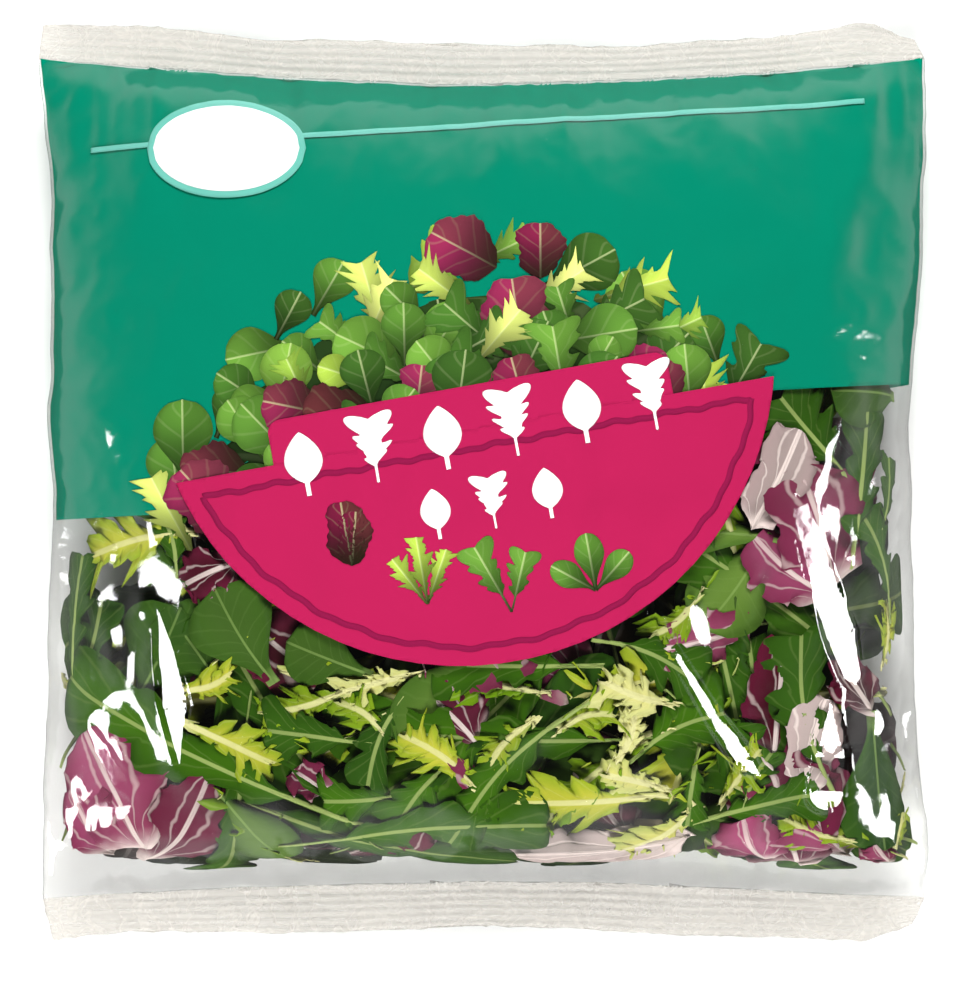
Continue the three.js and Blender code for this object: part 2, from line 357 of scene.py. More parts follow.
before_strips = BVHTree.FromObject(film, bpy.context.evaluated_depsgraph_get())
builder = bmesh.new()
builder.from_mesh(film.data)
halved = set()
for face in builder.faces:
    centre = face.calc_center_median()
    if any(on_strip(points, centre, STRIP_EDGE) for _, points in FLAT_STRIPS):
        halved.update(face.edges)
bmesh.ops.subdivide_edges(builder, edges=list(halved), cuts=1)
bmesh.ops.triangulate(builder, faces=[face for face in builder.faces if len(face.verts) > 3])
for card_name, points in FLAT_STRIPS:
    crowns = [Vector((x, y, 0)) * MM for x, y, _ in points]
    for crown in crowns:
        crown.z = mean_height(before_strips, crown.x, crown.y)
    tilted = 0
    for vertex in builder.verts:
        if not on_strip(points, vertex.co, 0):
            continue
        inside, off, sideways, share = in_strip(points, Vector(vertex.co[:2]))
        index = min(int(share), len(crowns) - 2)
        crown = crowns[index].lerp(crowns[index + 1], share - index)
        to_card = (cards[card_name].location - crown).normalized()
        wanted = to_card + (camera.location - crown).normalized()
        slope = -Vector(wanted[:2]).dot(sideways) / wanted.z
        vertex.co.z += min(1, inside / STRIP_EDGE) * (crown.z + slope * off - vertex.co.z)
        tilted += 1
    print("flat strip to the", card_name, "card, points:", tilted)
builder.to_mesh(film.data)
builder.free()
print("film triangles with the strips:", len(film.data.polygons))

# %% [markdown]
# ## Finding the film
# Print lies just behind the film and leaves press against it, so both need to know where the film is.
# Rays from above and below give the front and back of the bag at any place. Near the side folds a ray
# would miss, so places are first squeezed inside the outline, as the folds squeeze real leaves.

# %% Height of the film
TOP_SEAL_LINE = 122.3 * MM       # where the crimped strips begin in the middle of the bag
TOP_SEAL_REACH = 7.6 * MM        # and how far out they have moved at its corners
BOTTOM_SEAL_LINE = -122.7 * MM
BOTTOM_SEAL_REACH = 4.8 * MM
SEAL_BEND = 1.4                  # power of x with which they curve towards the corners
HALF_WIDTH = 136.8 * MM
OUTLINE_BIN = 5 * MM
SQUEEZE = 14 * MM                # leaves are squeezed together over this distance from the fold
SEAL_MARGIN = 4 * MM
FOLD_MARGIN = 2 * MM
CONTENTS_DEPTH = 1.2 * MM          # leaves and core stay this far from the film, behind all print


def seal_line(x, top):
    """Y where the top or bottom strip begins at x."""
    side = min(1, abs(x) / HALF_WIDTH) ** SEAL_BEND
    if top:
        return TOP_SEAL_LINE + TOP_SEAL_REACH * side
    return BOTTOM_SEAL_LINE - BOTTOM_SEAL_REACH * side


def outline_of(mesh):
    """The bag's left and right x in each slice along y."""
    slices = {}
    for vertex in mesh.vertices:
        key = round(vertex.co.y / OUTLINE_BIN)
        left, right = slices.get(key, (1, -1))
        slices[key] = (min(left, vertex.co.x), max(right, vertex.co.x))
    return slices


outline = outline_of(film.data)


def squeezed(value, limit):
    """value, bent so that it never passes limit, in the same sense as limit."""
    sign = 1 if limit > 0 else -1
    past = sign * value - (abs(limit) - SQUEEZE)
    if past <= 0:
        return value
    return sign * (abs(limit) - SQUEEZE * math.exp(-past / SQUEEZE))


def inside_bag(x, y):
    """The place that a leaf's point takes once the folds and seals have pushed it inwards."""
    y = squeezed(y, TOP_SEAL_LINE - SEAL_MARGIN if y > 0 else BOTTOM_SEAL_LINE + SEAL_MARGIN)
    left, right = outline[round(y / OUTLINE_BIN)]
    return squeezed(x, right - FOLD_MARGIN if x > 0 else left + FOLD_MARGIN), y


def film_copy(depth, keep=None):
    """A bmesh copy of the film, moved inwards by depth. keep(centre, normal) chooses its faces."""
    builder = bmesh.new()
    builder.from_mesh(film.data)
    if keep:
        dropped = [f for f in builder.faces if not keep(f.calc_center_median(), f.normal)]
        bmesh.ops.delete(builder, geom=dropped, context="FACES")
    for vertex in builder.verts:
        vertex.co -= vertex.normal * depth
    return builder


film_search = BVHTree.FromObject(film, bpy.context.evaluated_depsgraph_get())
room = film_copy(CONTENTS_DEPTH)
room_search = BVHTree.FromBMesh(room)
room.free()


def room_heights(x, y):
    """Heights between which leaves may lie at a place inside the bag."""
    front = room_search.ray_cast(Vector((x, y, RAY_START)), DOWN)[0]
    back = room_search.ray_cast(Vector((x, y, -RAY_START)), UP)[0]
    if front is None or back is None:
        return None
    return back.z, front.z


print("room at the middle, in mm:", [round(h / MM, 1) for h in room_heights(0, 0)])

# %% [markdown]
# ## Leaves
# The mix has rocket, lamb's lettuce, curly endive and radicchio. Every leaf starts as a flat grid.
# Its two grid directions, across and along, become the leaf's own: a formula for each kind gives the
# half width at each point along the rib, and teeth, cupping and ripples follow. The grid's UV map is
# kept, so that the veins of the material run with the leaf. The points are then laid at a depth
# behind the film, which presses the outer leaves flat and can't be pierced. A simulation of hundreds
# of leaves would take hours and would still need this outline work. So that they can stand in for each
# other, all formulas take the share along the rib, the side and a seed, also where one isn't needed.

# %% Leaf outlines


def bump(value, centre, reach):
    """1 at centre, falling to 0 at reach to either side."""
    return max(0.0, 1 - ((value - centre) / reach) ** 2)


def joined(*widths):
    """The widest of several widths, with their meeting rounded off."""
    return sum(width ** 4 for width in widths) ** 0.25


def rocket_width(along, side, seed):
    """Half width, of 1, of a rocket leaf: a thin stalk, three pairs of lobes and a long end lobe."""
    shift = 0.03 * side * math.sin(seed * 2)
    size = 0.82 + 0.18 * math.sin(seed * 7 + side)
    lobes = (
        0.5 * size * bump(along, 0.34 + shift, 0.05) ** 0.5,
        0.74 * size * bump(along, 0.48 - shift, 0.06) ** 0.5,
        0.88 * size * bump(along, 0.64 + shift, 0.075) ** 0.5,
        0.9 * bump(along, 0.85, 0.155) ** 0.5,
    )
    blade = 0.36 * smooth_step(along, 0.22, 0.44) * smooth_step(1 - along, 0.0, 0.05)
    return max(0.05 * smooth_step(1 - along, 0, 0.03), joined(blade, *lobes))


def spoon_width(along, side, seed):
    """Half width of a lamb's lettuce leaf: it widens slowly from its stalk to a round end."""
    widest = 0.66 + 0.04 * math.sin(seed)
    if along > widest:
        return math.sqrt(max(0, 1 - ((along - widest) / (1 - widest)) ** 2))
    return 0.14 + 0.86 * smooth_step(along, 0.08, widest)


def endive_width(along, side, seed):
    """Half width of a curly endive leaf: a broad pale rib with long uneven teeth."""
    turns = 5.5 + 1.5 * math.sin(seed * 3)
    phase = along * turns + 0.37 * side + seed
    tooth = (phase % 1) ** 1.3
    small = (phase * 3.1) % 1
    slow = 0.6 + 0.4 * math.sin(along * 11 + seed * 5 + side * 2)
    teeth = 0.2 + 0.14 * small + 0.66 * tooth * slow
    spread = 0.22 + 0.78 * smooth_step(along, 0.12, 0.5)
    return spread * teeth * smooth_step(1 - along, 0, 0.1)


def radicchio_width(along, side, seed):
    """Half width of a torn piece of radicchio: broad, with a ragged edge."""
    ragged = 0.84 + 0.12 * math.sin(along * 9 + seed * 5 + side) + 0.04 * math.sin(along * 41 + seed)
    return ragged * math.sqrt(max(0, 1 - abs((along - 0.52) / 0.5) ** 2.6))


# %% [markdown]
# Rocket is long with a thin stalk, lamb's lettuce is a small spoon, endive is narrow and frilled, and
# radicchio comes in broad buckled pieces. Each kind is one row of facts, with two values where its
# leaves range between them: length and half are its length and half width in mm, width is the formula
# of its outline, and columns and rows are its grid. The edge points forward by lean. frill and ruffle
# are how far the edge's ripples go up and along, and waves is how many there are. cup is how far the
# edge curls, rib how deep the rib lies, crumple the height of the buckles and roll how far the leaf
# leans on one side, all in mm. The rib bends sideways by sway, of its length.

# %% Kinds of leaf
KINDS = {
    "rocket": dict(width=rocket_width, columns=8, rows=32, length=(68, 112), half=(11, 17), lean=0.5,
                   frill=1.0, ruffle=0.5, waves=9, cup=2.0, rib=0.6, crumple=2.2, roll=4, sway=0.1),
    "lambs_lettuce": dict(width=spoon_width, columns=8, rows=16, length=(36, 58), half=(8, 13), lean=0,
                          frill=0.8, ruffle=0, waves=5, cup=3.5, rib=0.6, crumple=1.4, roll=3, sway=0.05),
    "curly_endive": dict(width=endive_width, columns=10, rows=54, length=(45, 80), half=(12, 19), lean=0.7,
                         frill=4.5, ruffle=2, waves=11, cup=2.5, rib=0.9, crumple=3.5, roll=4, sway=0.14),
    "radicchio": dict(width=radicchio_width, columns=14, rows=24, length=(32, 58), half=(11, 20),
                      lean=0.15, frill=3, ruffle=1.5, waves=5, cup=5.0, rib=0.9, crumple=6.5, roll=4,
                      sway=0.06),
}
RIB_CROWDING = 0.6      # grid columns crowd towards the rib, which gives it a crisp edge
RIB_REACH = 0.3         # of the half width, where the blade starts to rise from the rib
BEND = 6                # mm; the ends of a leaf bend away from its middle by a quarter of this
CRUMPLE_SIZE = 13       # mm
LEAF_THICKNESS = 0.35 * MM
PRESSED_SHARE = 0.45    # the film presses the outermost leaves this flat
PRESS_DEPTH = 5 * MM
LEAST_ROOM = 0.1 * MM


def leaf_point(kind, leaf, across, along):
    """A leaf's own point, as x across, y along and z away from the film, and its distance off the
    rib, all in metres."""
    side = 1 if across > 0 else -1
    share = side * abs(across) ** (1 + RIB_CROWDING)
    off_rib = share * kind["width"](along, side, leaf["seed"]) * leaf["half"]
    wave = along * kind["waves"] * math.pi + leaf["seed"] * 2 + side
    ripple = (math.sin(wave) + 0.5 * math.sin(2.3 * wave + leaf["seed"])) * share * share
    x = off_rib + leaf["sway"] * leaf["length"] * math.sin(along * math.pi)
    y = along * leaf["length"] + kind["lean"] * abs(off_rib) + kind["ruffle"] * ripple
    z = kind["cup"] * share * share * leaf["curl"] + kind["frill"] * ripple
    z += kind["roll"] * leaf["roll"] * share
    z += BEND * leaf["bend"] * (along - 0.5) ** 2 - kind["rib"] * bump(across, 0, RIB_REACH)
    z += kind["crumple"] * noise.noise(Vector((x / CRUMPLE_SIZE, y / CRUMPLE_SIZE, leaf["seed"])))
    return x * MM, y * MM, z * MM, abs(off_rib) * MM


# %% [markdown]
# A leaf is described by where its rib's middle lies, which way it points and how deep it is. The
# leaves that show clearly in the window are placed one by one. The rest are scattered behind them
# with a seeded draw, so that every run gives the same bag.

# %% Laying leaves in the bag


def make_leaf(kind_name, x, y, turn, depth, rng, front=True):
    """Facts of one random leaf. x and y are its middle in mm, turn is in radians from +Y, depth in mm."""
    kind = KINDS[kind_name]
    return dict(
        kind=kind_name, x=x, y=y, turn=turn, depth=depth, front=front, seed=rng.uniform(0, 10),
        length=rng.uniform(*kind["length"]), half=rng.uniform(*kind["half"]), tone=rng.random(),
        curl=rng.uniform(-0.4, 1), bend=rng.uniform(-0.5, 1), roll=rng.uniform(-1, 1),
        sway=rng.uniform(-1, 1) * kind["sway"], dive_base=rng.uniform(0, 3),
        dive_tip=rng.uniform(0, 1.5))


def shape_builder(*numbers):
    """A bmesh for leaves and printed shapes, with a UV map and the named numbers at each point."""
    builder = bmesh.new()
    builder.loops.layers.uv.new("leaf")
    for name in numbers:
        builder.verts.layers.float.new(name)
    return builder


def lay_leaf(builder, leaf):
    """Adds one leaf to a bmesh, with every point at its depth behind the film."""
    kind = KINDS[leaf["kind"]]
    tone_layer, rib_layer, deep_layer = (
        builder.verts.layers.float[name] for name in ("tone", "off_rib", "deep"))
    made = bmesh.ops.create_grid(
        builder, x_segments=kind["columns"], y_segments=kind["rows"], size=1, calc_uvs=True)
    cos, sin = math.cos(leaf["turn"]), math.sin(leaf["turn"])
    for vertex in made["verts"]:
        along = (vertex.co.y + 1) / 2
        x, y, z, off_rib = leaf_point(kind, leaf, vertex.co.x, along)
        vertex[tone_layer] = leaf["tone"]
        vertex[rib_layer] = off_rib / MM
        y -= leaf["length"] * MM / 2
        place = inside_bag(leaf["x"] * MM + x * cos - y * sin, leaf["y"] * MM + x * sin + y * cos)
        back, top = room_heights(*place) or (FOLD_PLANE, FOLD_PLANE)
        room = max(LEAST_ROOM, top - back)
        depth = (leaf["depth"] + leaf["dive_base"] * (1 - along) ** 2 + leaf["dive_tip"] * along ** 2) * MM
        pressed = PRESSED_SHARE + (1 - PRESSED_SHARE) * smooth_step(depth, 0, PRESS_DEPTH)
        away = room * (1 - math.exp(-max(0, depth + z * pressed) / room))
        vertex[deep_layer] = away / MM
        vertex.co = Vector((*place, top - away if leaf["front"] else back + away))


def leaf_heap(kind_name, leaves, material):
    """One piece that holds every leaf of a kind, each with its real thickness."""
    builder = shape_builder("tone", "off_rib", "deep")
    for leaf in leaves:
        lay_leaf(builder, leaf)
    heap = object_from(kind_name, builder, material)
    wall = heap.modifiers.new("thickness", "SOLIDIFY")
    wall.thickness = LEAF_THICKNESS
    wall.offset = 0
    apply_modifiers(heap)
    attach(heap, "root")
    triangles = sum(len(polygon.vertices) - 2 for polygon in heap.data.polygons)
    print(kind_name, "leaves:", len(leaves), "triangles:", triangles)


# %% [markdown]
# ## Leaf finishes
# A fresh leaf is a thin watery blade with a dull waxy skin: it has soft highlights at most, and light
# passes through it, which keeps the shaded leaves green instead of grey. All four kinds share one
# recipe. The blade's colour runs between two shades by the leaf's own tone, a pale rib follows the
# middle at a true width in millimetres, and finer veins branch from it. The bag is so full that no
# lamp reaches its inside, so leaves fade to near black with their depth behind the film. Real shadows
# alone would need far more leaves.

# %% Leaf materials
SHADE_DEPTHS = (1.5, 8.5)        # mm behind the film over which leaves fade into their neighbours' shade
SHADE_SHARE = 0.94
SHADE_COLOUR = "#0b1004"
LIGHT_THROUGH = 0.15             # share of light that passes through a blade
MOTTLE_SIZE = 9 * MM             # blisters between the veins
BROAD_SHADE_SIZE = 28 * MM       # darker and lighter parts of one blade
BROAD_SHADE = (0.6, 0.66, 0.5, 1)    # what the darker parts keep of red, green and blue
BROAD_SHARE = 0.55
RIM_SHARE = 0.6
FAN_VEINS = 19                   # radians of the veins' wave for each radian of the fan
FAN_WANDER = 9
SIDE_VEINS = 46                  # radians of the wave along a leaf, so 7 pairs of veins
VEIN_SLANT = 22
VEIN_WANDER = 3.5
VEIN_EDGES = (0.78, 1.05)        # the heights of the wave at which a vein starts and would end
RIB_FADE = 0.45                  # share that the rib loses by the leaf's tip
PALEST = 0.75                    # how far a leaf of tone 2 has turned to the rib's colour
BLISTER_HEIGHT = 1 * MM


def leaf_material(name, low, high, rim, rib, rib_width, pale_end, veins, fan=False,
                  rib_share=1.0):
    """Leaf finish. low and high are the colours at tone 0 and 1, and rim is that of the edge. Past
    tone 1 the leaf fades towards the rib's colour. rib_width is in mm, pale_end is how far up the
    leaf the rib's colour spreads, veins is how strongly they show, fan makes them spread out from
    the base, and rib_share is how strongly the rib shows."""
    material, tree, output = new_material(name)
    tone = add(tree, "Attribute", {"attribute_name": "tone"}).outputs["Fac"]
    off_rib = add(tree, "Attribute", {"attribute_name": "off_rib"}).outputs["Fac"]
    place = add(tree, "TexCoord").outputs["Object"]
    on_leaf = add(tree, "SeparateXYZ", Vector=add(tree, "UVMap", {"uv_map": "leaf"}).outputs[0])
    sideways = maths(tree, "SUBTRACT", on_leaf.outputs[0], 0.5)
    across = maths(tree, "ABSOLUTE", sideways)
    along = on_leaf.outputs[1]
    mottle = add(tree, "TexNoise", Vector=place, Scale=1 / MOTTLE_SIZE, Detail=2,
                 Roughness=0.6).outputs["Fac"]
    broad = add(tree, "TexNoise", Vector=place, Scale=1 / BROAD_SHADE_SIZE, Detail=1).outputs["Fac"]

    blade = blend_colour(tree, tone, linear(low), linear(high))
    at_rim = maths(tree, "MULTIPLY", ramp(tree, across, 0.2, 0.5), RIM_SHARE)
    blade = blend_colour(tree, at_rim, blade, linear(rim))
    broad_share = maths(tree, "MULTIPLY", ramp(tree, broad, 0.35, 0.65), BROAD_SHARE)
    shade = tinted(tree, broad_share, blade, BROAD_SHADE)
    if fan:
        angle = maths(tree, "ARCTAN2", sideways, maths(tree, "ADD", along, 0.12))
        wander = maths(tree, "MULTIPLY", broad, FAN_WANDER)
        phase = maths(tree, "ADD", maths(tree, "MULTIPLY", angle, FAN_VEINS), wander)
    else:
        slant = maths(tree, "MULTIPLY", across, VEIN_SLANT)
        phase = maths(tree, "SUBTRACT", maths(tree, "MULTIPLY", along, SIDE_VEINS), slant)
    phase = maths(tree, "ADD", phase, maths(tree, "MULTIPLY", mottle, VEIN_WANDER))
    vein = maths(tree, "MULTIPLY", ramp(tree, maths(tree, "SINE", phase), *VEIN_EDGES), veins)
    rib_mask = maths(tree, "SUBTRACT", 1, ramp(tree, off_rib, rib_width * 0.55, rib_width))
    rib_fade = maths(tree, "SUBTRACT", 1, maths(tree, "MULTIPLY", along, RIB_FADE))
    rib_mask = maths(tree, "MULTIPLY", maths(tree, "MULTIPLY", rib_mask, rib_fade), rib_share)
    base = maths(tree, "ADD", along, maths(tree, "MULTIPLY", mottle, 0.2))
    base_mask = maths(tree, "SUBTRACT", 1, ramp(tree, base, pale_end * 0.5, pale_end + 0.15))
    pale = maths(tree, "MAXIMUM", maths(tree, "MAXIMUM", vein, rib_mask), base_mask)
    pale = maths(tree, "ADD", pale, maths(tree, "MULTIPLY", ramp(tree, tone, 1, 2), PALEST), True)
    colour = blend_colour(tree, pale, shade, linear(rib))
    deep = add(tree, "Attribute", {"attribute_name": "deep"}).outputs["Fac"]
    shaded = maths(tree, "MULTIPLY", ramp(tree, deep, *SHADE_DEPTHS), SHADE_SHARE)
    colour = blend_colour(tree, shaded, colour, linear(SHADE_COLOUR))

    relief = maths(tree, "ADD", maths(tree, "MULTIPLY", vein, -0.6), mottle)
    bumps = add(tree, "Bump", Strength=0.7, Distance=BLISTER_HEIGHT, Height=relief).outputs[0]
    blade_shader = add(tree, "BsdfPrincipled", Base_Color=colour, Roughness=0.45, Normal=bumps,
                       Specular_IOR_Level=0.04)
    lit_through = add(tree, "BsdfTranslucent", Color=colour)
    mixed = add(tree, "MixShader", _0=LIGHT_THROUGH, _1=blade_shader.outputs[0],
                _2=lit_through.outputs[0])
    tree.links.new(mixed.outputs[0], output.inputs[0])
    return material


LEAF_MATERIALS = {
    "rocket": leaf_material(
        "rocket_leaf", "#2c4e17", "#45730e", "#284a0c", "#a1b368", 0.75, 0.16, 0.1),
    "lambs_lettuce": leaf_material(
        "lambs_lettuce_leaf", "#284a18", "#6c8c3a", "#3c601c", "#8ba85c", 0.45, 0.12, 0.06,
        rib_share=0.6),
    "curly_endive": leaf_material(
        "curly_endive_leaf", "#508408", "#cdc944", "#7aa118", "#e0dd9e", 1.1, 0.2, 0.12),
    "radicchio": leaf_material(
        "radicchio_leaf", "#a44c70", "#450d1c", "#6e1d3c", "#ead9d2", 0.9, 0.16, 0.42, fan=True),
}
print("leaf finishes:", ", ".join(LEAF_MATERIALS))

# %% [markdown]
# ## Filling the bag
# The leaves that show clearly are placed by the pixels at which they show. A pixel is a line of sight,
# and where it meets the film depends on the film's height, so the place is found in a few steps.

# %% Places of the photograph
CAMERA_PLACE = Vector(camera.location[:2])
PHOTO_MIDDLE = (483, 482.5)      # px, below the camera
SIGHT_STEPS = 3


def seen(pixel_x, pixel_y):
    """The place, in metres, on the front of the bag that shows at a pixel of the photograph."""
    flat = Vector(((pixel_x - PHOTO_MIDDLE[0]) * PIXEL, (PHOTO_MIDDLE[1] - pixel_y) * PIXEL))
    place = flat.copy()
    for _ in range(SIGHT_STEPS):
        hit = film_search.ray_cast(Vector((*place, RAY_START)), DOWN)[0]
        height = hit.z if hit else FOLD_PLANE
        nearer = (camera.location.z - height) / (camera.location.z - FOLD_PLANE)
        place = CAMERA_PLACE + (flat - CAMERA_PLACE) * nearer
    return place


print("middle of the photograph, in mm:", [round(v / MM, 1) for v in seen(*PHOTO_MIDDLE)])

# %% [markdown]
# Each row below is one clear leaf: its kind, the pixels of its base and its tip, its half width in mm,
# its tone, its depth behind the film in mm, and by how many mm its base and its tip dive below their
# neighbours. Leaves are as uneven as in the bag: a tone past 1 is one of the cream inner leaves.

# %% Leaves that show clearly
SHOWN_LEAVES = (
    ("rocket", 369, 829, 58, 676, 15, 0.7, 0.0, 1, 0),
    ("lambs_lettuce", 274, 684, 214, 588, 13.5, 0.25, 0.0, 2, 0),
    ("lambs_lettuce", 135, 702, 180, 608, 15, 0.1, 0.8, 2, 0),
    ("lambs_lettuce", 222, 690, 164, 608, 12, 0.15, 1.2, 2, 1),
    ("lambs_lettuce", 372, 676, 286, 642, 10, 0.3, 0.3, 1, 0),
    ("rocket", 62, 710, 78, 556, 9, 0.2, 0.4, 0, 0),
    ("rocket", 60, 705, 100, 598, 8, 0.1, 1.4, 0, 2),
    ("curly_endive", 196, 531, 92, 556, 15, 0.75, 1.0, 1, 0),
    ("rocket", 176, 583, 158, 508, 9, 0.4, 0.3, 0, 0),
    ("rocket", 215, 576, 150, 560, 8, 0.5, 1.6, 0, 2),
    ("radicchio", 236, 562, 182, 586, 9, 0.95, 1.0, 2, 0),
    ("curly_endive", 178, 720, 272, 764, 12, 0.8, 0.2, 0, 0),
    ("curly_endive", 172, 690, 232, 672, 8, 0.95, 0.5, 0, 0),
    ("curly_endive", 348, 690, 260, 714, 12, 0.35, 0.8, 2, 0),
    ("rocket", 372, 745, 268, 731, 12, 0.3, 0.3, 1, 0),
    ("radicchio", 326, 796, 292, 772, 7, 0.7, 1.5, 2, 0),
    ("radicchio", 146, 856, 84, 732, 19, 0.1, 0.3, 1, 0),
    ("radicchio", 112, 866, 62, 790, 13, 0.25, 0.9, 1, 0),
    ("radicchio", 148, 882, 206, 782, 13, 0.6, 1.0, 1, 0),
    ("lambs_lettuce", 214, 790, 290, 880, 11, 0.75, 0.7, 2, 1),
    ("rocket", 278, 853, 546, 826, 12, 0.6, 0.3, 1, 0),
    ("rocket", 590, 702, 450, 846, 11, 0.65, 0.0, 0, 0),
    ("radicchio", 480, 748, 418, 690, 15, 0.85, 0.8, 2, 0),
    ("curly_endive", 478, 790, 402, 736, 13, 0.85, 0.5, 1, 0),
    ("curly_endive", 540, 716, 484, 795, 11, 0.5, 0.9, 1, 1),
    ("rocket", 416, 684, 368, 786, 8, 0.1, 0.2, 1, 0),
    ("curly_endive", 426, 672, 340, 694, 7, 1.7, 0.6, 1, 0),
    ("curly_endive", 384, 734, 340, 704, 9, 0.3, 0.6, 1, 0),
    ("rocket", 604, 666, 436, 664, 12, 0.6, 0.4, 0, 1),
    ("curly_endive", 552, 694, 452, 682, 9, 0.1, 0.9, 1, 0),
    ("curly_endive", 682, 706, 606, 682, 11, 1.8, 0.7, 1, 0),
    ("rocket", 592, 640, 696, 682, 11, 0.45, 0.4, 1, 0),
    ("curly_endive", 556, 734, 616, 716, 11, 0.4, 0.8, 1, 0),
    ("curly_endive", 610, 768, 634, 706, 7, 1.9, 0.2, 1, 0),
    ("rocket", 628, 764, 724, 714, 16, 0.75, 0.6, 2, 0),
    ("curly_endive", 668, 796, 512, 804, 14, 0.9, 0.2, 1, 0),
    ("curly_endive", 700, 806, 622, 858, 14, 1.45, 0.4, 1, 0),
    ("curly_endive", 672, 792, 606, 776, 8, 1.6, 0.0, 0, 0),
    ("radicchio", 690, 838, 516, 866, 13, 1.8, 0.6, 1, 0),
    ("rocket", 410, 796, 324, 802, 10, 0.7, 0.7, 2, 0),
    ("rocket", 458, 758, 398, 826, 10, 0.8, 0.7, 2, 1),
    ("rocket", 852, 482, 782, 398, 17, 0.25, 0.4, 1, 0),
    ("lambs_lettuce", 914, 398, 832, 390, 11, 0.15, 0.8, 1, 0),
    ("rocket", 852, 570, 868, 412, 9, 0.15, 0.2, 1, 0),
    ("radicchio", 752, 530, 801, 430, 10, 1.55, 0.2, 1, 0),
    ("radicchio", 836, 588, 800, 466, 17, 0.45, 0.4, 2, 0),
    ("radicchio", 830, 596, 756, 538, 13, 0.3, 0.6, 1, 0),
    ("lambs_lettuce", 770, 532, 703, 630, 12.5, 0.85, 0.2, 2, 0),
    ("radicchio", 774, 766, 784, 640, 12, 1.0, 0.8, 2, 0),
    ("rocket", 766, 756, 750, 640, 8, 0.4, 2.5, 1, 0),
    ("rocket", 840, 804, 802, 636, 13, 0.25, 0.1, 0, 0),
    ("radicchio", 806, 800, 828, 700, 10, 1.7, 0.5, 1, 0),
    ("radicchio", 644, 650, 752, 624, 10, 0.2, 1.0, 2, 0),
    ("rocket", 664, 690, 744, 750, 11, 0.6, 1.2, 2, 0),
    ("radicchio", 874, 712, 840, 660, 8, 1.0, 1.0, 2, 0),
    ("rocket", 902, 624, 862, 514, 9, 0.4, 0.3, 0, 0),
    ("rocket", 884, 540, 902, 458, 7, 0.5, 0.9, 0, 0),
    ("curly_endive", 888, 668, 896, 606, 9, 0.85, 1.0, 1, 0),
    ("lambs_lettuce", 874, 712, 886, 860, 13, 0.0, 0.2, 2, 0),
    ("curly_endive", 862, 842, 786, 818, 12, 0.4, 0.6, 1, 0),
    ("curly_endive", 720, 806, 762, 750, 9, 0.6, 1.3, 2, 0),
    ("rocket", 694, 824, 820, 794, 10, 0.6, 0.5, 0, 0),
    ("radicchio", 764, 880, 744, 820, 13, -0.1, 1.4, 1, 0),
    ("radicchio", 890, 894, 876, 850, 8, 0.1, 0.8, 1, 0),
    ("curly_endive", 900, 858, 918, 812, 8, 0.7, 0.7, 1, 0),
    ("rocket", 700, 746, 688, 826, 8, 0.6, 0.9, 1, 0),
    ("rocket", 744, 814, 772, 754, 8, 0.5, 0.7, 1, 0),
    ("curly_endive", 704, 586, 652, 636, 9, 0.3, 0.7, 1, 0),
)
shown_draw = random.Random(41)


def shown_leaf(kind_name, base_x, base_y, tip_x, tip_y, half, tone, depth, dive_base, dive_tip):
    """A leaf between two pixels of the photograph."""
    base, tip = seen(base_x, base_y), seen(tip_x, tip_y)
    middle, rib = (base + tip) / 2 / MM, (tip - base) / MM
    leaf = make_leaf(kind_name, middle.x, middle.y, math.atan2(-rib.x, rib.y), depth, shown_draw)
    leaf.update(length=rib.length, half=half, tone=tone, dive_base=dive_base, dive_tip=dive_tip)
    return leaf


leaves = [shown_leaf(*row) for row in SHOWN_LEAVES]
print("clear leaves:", len(leaves))

# %% [markdown]
# The rest is a seeded draw. Four loose layers of it lie behind the window's front and three on the
# back film, so that the bag is full from behind too. Two corners of the window stay empty, as the
# leaves have slid away from them.

# %% Scattered leaves
KIND_SHARES = (("rocket", 36), ("lambs_lettuce", 22), ("curly_endive", 24), ("radicchio", 18))
FRONT_LAYERS = (3.5, 6, 9, 12)      # depth in mm
BACK_LAYERS = (0.5, 3, 6)
LEAVES_TO_A_LAYER = 34              # few enough that dark gaps stay between them
DEPTH_SPREAD = 1                    # mm that a leaf may lie off its layer
WINDOW_TOP = 34                     # mm; nothing above it shows, as the print is opaque
WINDOW_BOTTOM = -108
SCATTER_HALF_WIDTH = 112
EMPTY_CORNERS = ((-128, -8, 34), (134, 24, 30))     # x, y and reach of places with no leaves, in mm


def is_clear(leaf):
    """True if a leaf keeps out of the empty corners."""
    rib = Vector((-math.sin(leaf["turn"]), math.cos(leaf["turn"]))) * leaf["length"] / 2
    middle = Vector((leaf["x"], leaf["y"]))
    for share in (-1, -0.5, 0, 0.5, 1):
        for x, y, reach in EMPTY_CORNERS:
            if (middle + rib * share - Vector((x, y))).length < reach:
                return False
    return True


scatter_draw = random.Random(1150)
kind_names, kind_weights = zip(*KIND_SHARES)
for layers, front in ((FRONT_LAYERS, True), (BACK_LAYERS, False)):
    for layer in layers:
        for _ in range(LEAVES_TO_A_LAYER):
            kind_name = scatter_draw.choices(kind_names, kind_weights)[0]
            x = scatter_draw.uniform(-SCATTER_HALF_WIDTH, SCATTER_HALF_WIDTH)
            y = scatter_draw.uniform(WINDOW_BOTTOM, WINDOW_TOP)
            turn = scatter_draw.uniform(0, math.tau)
            depth = layer + scatter_draw.uniform(-DEPTH_SPREAD, DEPTH_SPREAD)
            leaf = make_leaf(kind_name, x, y, turn, depth, scatter_draw, front)
            if is_clear(leaf):
                leaves.append(leaf)

for kind_name in kind_names:
    of_kind = [leaf for leaf in leaves if leaf["kind"] == kind_name]
    leaf_heap(kind_name, of_kind, LEAF_MATERIALS[kind_name])

